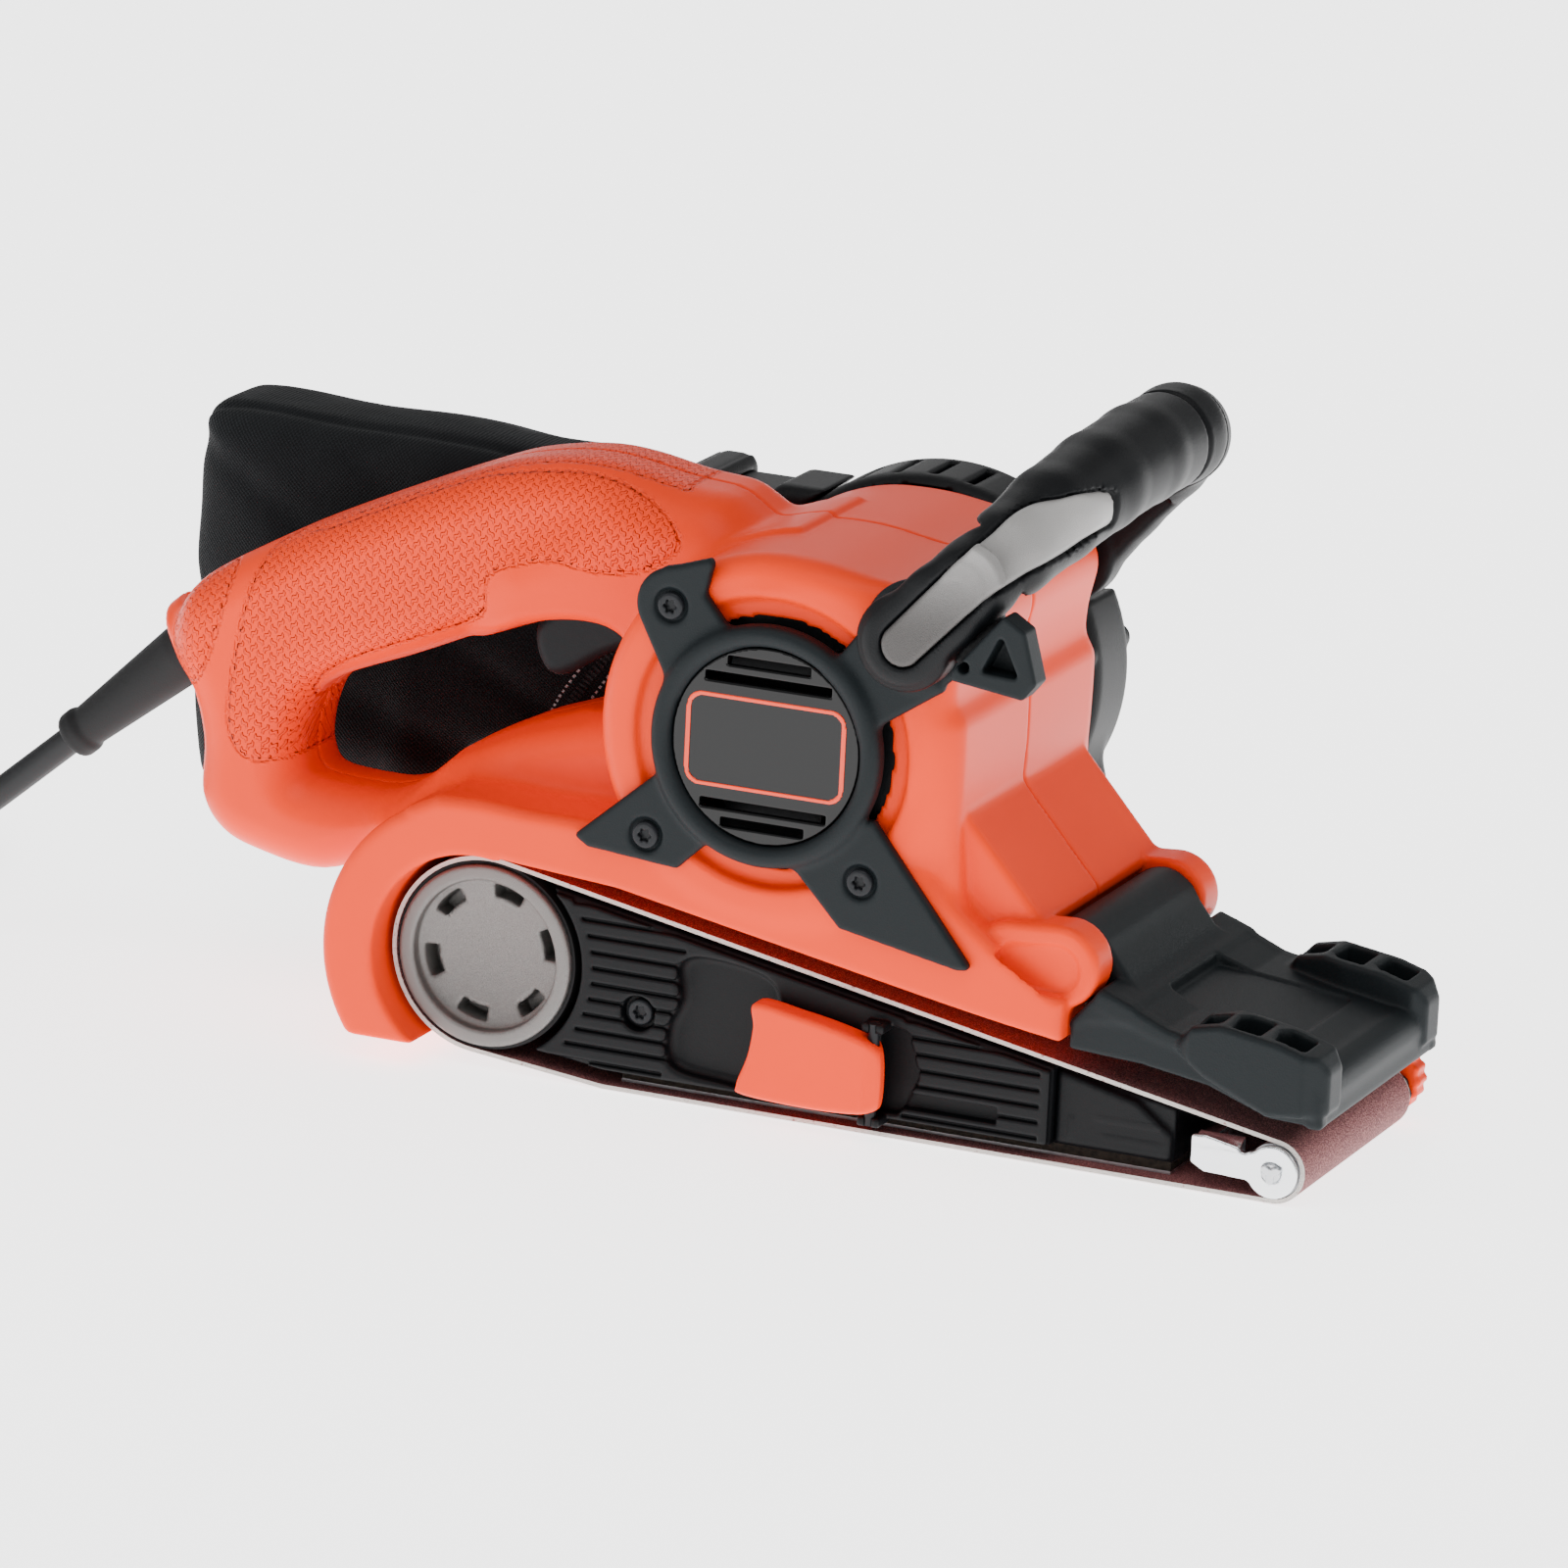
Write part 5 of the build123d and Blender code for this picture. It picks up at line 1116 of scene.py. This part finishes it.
# ------------------------------------------------------------------ far side
def drive_field(x, y, z):
    big = across(circle(x, z, MOTOR, 49), y, 47.05, 73, 5)
    long = across(hull(x, z, MOTOR, 40, DRUM, 28.5), y, 47.05, 73, 4)
    lobe = across(hull(x, z, MOTOR, 35, (22, 66), 26), y, 47.05, 66, 4)
    body = join(join(big, long, 4), lobe, 4)
    for turn in range(-48, 49, 12):
        a = radians(turn)
        rib = np.maximum(np.abs((x - MOTOR[0]) * cos(a) - (z - MOTOR[1]) * sin(a)) - 1.1,
                         -(x - MOTOR[0]) * sin(a) - (z - MOTOR[1]) * cos(a))
        rib = np.maximum(rib, np.abs(circle(x, z, MOTOR, 47.4)) - 1.6)
        body = cut(body, both(rib, np.abs(y - 59) - 7.5, 0.5), 0.6)
    for row in range(-2, 3):
        slot_cut = across(outline(x, z, [(-62, 56 + 7.0 * row), (-30, 82 + 7.0 * row),
                                         (-31.4, 83.9 + 7.0 * row), (-63.4, 57.9 + 7.0 * row)],
                                  0.8), y, 71.6, 80, 0.2)
        body = cut(body, slot_cut, 0.5)
    disc_line = np.abs(circle(x, z, MOTOR, 27)) - 0.8
    body = cut(body, across(disc_line, y, 72.2, 80, 0.2), 0.5)
    inner = np.minimum(across(circle(x, z, MOTOR, 46), y, 30, 70, 1),
                       across(hull(x, z, MOTOR, 30, DRUM, 26), y, 30, 70, 1))
    body = np.maximum(body, -inner)
    well = across(np.maximum(circle(x, z, PIVOT, 16), circle(x, z, MOTOR, 48.6)), y, 47.05, 70, 1)
    body = np.minimum(body, well)
    body = cut(body, across(circle(x, z, PIVOT, 13.5), y, 40, 90, 0.4), 1.0)
    duct = box(x, y, z, (-66.2, 49.8, 109.8), (-33.8, 74.2, 136.2), 1.0)
    body = np.maximum(body, -duct)
    for at in FAR_SCREWS:
        body = np.minimum(body, across(circle(x, z, at, 4.2), y, 47.05, 73, 0.5))
        body = cut(body, across(circle(x, z, at, 3.9), y, 72.4, 80, 0.2), 0.4)
    return body


def duct_field(x, y, z):
    outer = box(x, y, z, (-66, 50, 110), (-34, 74, 136), 3.0)
    hollow = box(x, y, z, (-80, 52.5, 112.5), (-36, 71.5, 133.5), 2.0)
    body = cut(outer, hollow, 0.5)
    neck = both(box(x, y, z, (-44, 49, 106), (-24, 74, 139), 4.0),
                -circle(x, z, MOTOR, 49.5), 1.0)
    return join(body, neck, 2.0)


def collar_field(x, y, z):
    """C-shaped clip round the duct, with a thumb lip and a lead-in ring."""
    ring = box(x, y, z, (-70, 46.2, 106.2), (-58, 77.8, 139.8), 4.5)
    lip = box(x, y, z, (-61.5, 45.4, 105.4), (-58, 78.6, 140.6), 5.0)
    back = box(x, y, z, (-70, 45.4, 105.4), (-67.4, 78.6, 140.6), 5.0)
    body = join(join(ring, lip, 1.0), back, 1.0)
    return cut(body, box(x, y, z, (-90, 49.9, 109.9), (-40, 74.1, 136.1), 3.0), 0.5)


def trigger_field(x, y, z):
    body = across(outline(x, z, smooth_line([
        (-81.5, 109), (-82, 103.5), (-79.5, 98), (-76, 96.2), (-71.5, 97.6), (-64, 102.6),
        (-56, 106.6), (-48.6, 109.2), (-46.6, 113), (-50, 116.6), (-62, 117), (-76, 114)]),
        ), y, -9, 9, 3.2)
    return np.maximum(body, -circle(x, z, (-50, 113), 1.65))


def button_field(x, y, z):
    cap = across(circle(x, z, (-70, 131), 4.55), y, 13, 22, 1.4)
    dish = np.sqrt((x + 70) ** 2 + (z - 131) ** 2 + (y - 30.5) ** 2) - 9.4
    cap = cut(cap, dish, 0.4)
    return join(cap, across(circle(x, z, (-70, 131), 2.5), y, 10, 14, 0.2), 0.3)


def make_far_side():
    carve("drive_cover_shell", drive_field, (-112, 45, -3), (55, 75.5, 150), 1.0, "housing",
          "black", "black_plastic", ("drive_cover",))
    carve("dust_outlet", duct_field, (-68, 47.5, 104), (-22, 76, 142), 0.8, "housing", "black",
          "black_plastic", ("dust_duct",))
    carve("bag_clip", collar_field, (-72, 43.5, 103.5), (-56, 80.5, 142.5), 0.6, "dust_bag",
          "black", "black_plastic", ("bag_collar",))
    carve("trigger_blade", trigger_field, (-84, -10.5, 94), (-44.5, 10.5, 119), 0.6, "trigger",
          "charcoal", "charcoal_plastic", ("trigger",))
    carve("lock_button_cap", button_field, (-76, 9, 125), (-64, 23.5, 137), 0.4, "lock_button",
          "charcoal", "charcoal_plastic", ("lock_button",))


# ------------------------------------------------------------------ dust bag
BAG_SIDE = [(-73, 137.5), (-110, 139.5), (-150, 141), (-190, 142), (-201, 139), (-203, 128),
            (-204, 90), (-202, 48), (-196, 37), (-170, 33.5), (-132, 33), (-127.5, 44),
            (-124.5, 70), (-108, 77.5), (-92, 82), (-84, 96), (-73, 108)]


FLAP_SIDE = [(-140, 42), (-131, 40), (-123.5, 52), (-115.5, 59.3), (-107.5, 64.8),
             (-98.6, 70), (-89.8, 73.3), (-73, 73.8), (-68, 88), (-74, 103), (-90, 108), (-140, 108)]


def bag_field(x, y, z):
    """Flat wedge of cloth that narrows to its clip, full in the middle."""
    side = outline(x, z, smooth_line(BAG_SIDE, 3))
    middle = 61.5 - 5.5 * np.clip((-73 - x) / 60, 0, 1)
    half = np.clip(13.5 + 8.0 * np.clip((-73 - x) / 45, 0, 1), 0, 21.5)
    fat = np.abs(y - middle) - half
    a, b = side + 13, fat + 13
    body = (np.hypot(np.maximum(a, 0), np.maximum(b, 0)) + np.minimum(np.maximum(a, b), 0)) - 13
    flap = across(outline(x, z, FLAP_SIDE, 3), y, 33.0, 45.5, 5.5)
    return join(body, flap, 6.0)


def make_bag():
    points, quads = nets(bag_field, (-208, 28, 28), (-66, 84, 146), 4.2)
    bag = write_mesh("cloth_bag", points, quads)
    inflate(bag)
    refine = bag.modifiers.new("smooth", "SUBSURF")
    refine.levels = refine.render_levels = 2
    bake_modifiers(bag)
    crease(bag)
    place(bag, "dust_bag", "cloth", "bag_cloth", ("dust_bag",))
    return bag


def bake_modifiers(made):
    graph = bpy.context.evaluated_depsgraph_get()
    mesh = bpy.data.meshes.new_from_object(made.evaluated_get(graph))
    made.modifiers.clear()
    made.data = mesh
    mesh.shade_smooth()


def inflate(bag):
    """Short cloth simulation with air pressure; no point moves more than 4 mm."""
    start = points_of(bag)
    group = bag.vertex_groups.new(name="mouth")
    group.add([int(i) for i in np.flatnonzero(start[:, 0] > -78)], 1.0, "REPLACE")
    cloth = bag.modifiers.new("cloth", "CLOTH")
    cloth.settings.use_pressure = True
    cloth.settings.uniform_pressure_force = 3.0
    cloth.settings.effector_weights.gravity = 0.0
    cloth.settings.vertex_group_mass = "mouth"
    cloth.settings.bending_stiffness = 0.6
    scene = bpy.context.scene
    for step in range(1, 15):
        scene.frame_set(step)
    graph = bpy.context.evaluated_depsgraph_get()
    mesh = bpy.data.meshes.new_from_object(bag.evaluated_get(graph))
    bag.modifiers.clear()
    bag.data = mesh
    scene.frame_set(1)
    moved = points_of(bag) - start
    far = np.maximum(np.linalg.norm(moved, axis=1, keepdims=True), 1e-6)
    settled = start + moved * np.minimum(1.0, 4.0 / far)
    bag.data.vertices.foreach_set("co", (settled * MM).astype(np.float32).ravel())
    bag.data.update()


def crease(bag):
    """Pulls gathers towards the clip, long soft folds and a seam along the edges."""
    co = points_of(bag)
    normals = np.empty(len(co) * 3)
    bag.data.vertices.foreach_get("normal", normals)
    normals = normals.reshape(-1, 3)
    x, y, z = co.T
    near_clip = np.exp(-((x + 73) / 16.0) ** 2)
    angle = np.arctan2(z - 123, y - 62)
    depth = -1.3 * near_clip * (0.5 + 0.5 * np.cos(15 * angle))
    depth -= 1.5 * np.exp(-((z - 124 - 0.18 * (x + 140)) / 6.0) ** 2) * np.exp(
        -((x + 130) / 45.0) ** 2)
    depth -= 1.8 * np.exp(-((z - 74 + 0.35 * (x + 160)) / 7.0) ** 2)
    depth -= 1.2 * np.exp(-((z - 104 + 0.55 * (x + 150)) / 5.0) ** 2)
    depth += 0.5 * np.sin(x / 9.0 + z / 14.0) * (1 - near_clip)
    seam = np.abs(y - 56.0 - 5.5 * np.clip((x + 133) / 60, 0, 1))
    depth -= 0.9 * np.exp(-((seam - 12.5) / 1.3) ** 2) * (np.abs(normals[:, 1]) < 0.75)
    co = co + normals * depth[:, None]
    bag.data.vertices.foreach_set("co", (co * MM).astype(np.float32).ravel())
    bag.data.update()


# ------------------------------------------------------------------ carried-over CAD nodes
CAD_LOOKS = {
    "sanding_belt": "abrasive", "drum_tyre": "rubber", "drum_shaft": "steel",
    "platen_shoe": "steel", "platen_cork": "cork", "bearing_carrier": "cast",
    "ball_bearings": "steel", "brush_carrier": "black", "brush_holders": "brass",
    "carbon_brushes": "rubber", "motor_field": "lamination", "field_coils": "copper",
    "bearing_plate": "cast", "drive_belt": "rubber", "switch": "black", "cord_clamp": "black",
    "handle_pivots": "steel", "nose_hinge_pin": "steel", "trigger_pin": "steel",
    "lever_pin": "screw", "tension_spring": "steel", "plug_blades": "brass",
    "armature_shaft": "steel", "armature_core": "lamination", "commutator": "copper",
    "cooling_fan": "black", "motor_pinion": "steel", "countershaft": "steel",
    "reduction_gear": "steel", "drive_pulley": "cast", "driven_pulley": "cast",
    "front_roller": "cast",
}


def dress_cad_nodes():
    for name, look in CAD_LOOKS.items():
        nodes[name].data.materials.clear()
        nodes[name].data.materials.append(LOOKS[look])


def make_floor():
    mesh = bpy.data.meshes.new("floor")
    mesh.from_pydata([(-9, -6, 0), (9, -6, 0), (9, 14, 0), (-9, 14, 0)], [], [(0, 1, 2, 3)])
    floor = bpy.data.objects.new("floor", mesh)
    floor.location.z = -0.0004
    bpy.context.scene.collection.objects.link(floor)
    paper = Finish("studio_paper", (0.83, 0.83, 0.83), 0.9, spec=0.1)
    paper.set("Emission Color", (1, 1, 1, 1))
    paper.set("Emission Strength", 2.9)
    floor.data.materials.append(paper.material)


make_camera()
make_light()
LOOKS = make_materials()
make_floor()
power_cord = make_cord()
relief_piece, plug_piece, tie_piece = make_cord_fittings()
make_case()
make_ring()
make_screws()
make_belt_side()
make_front_handle()
make_nose_cover()
make_far_side()
make_bag()
dress_cad_nodes()
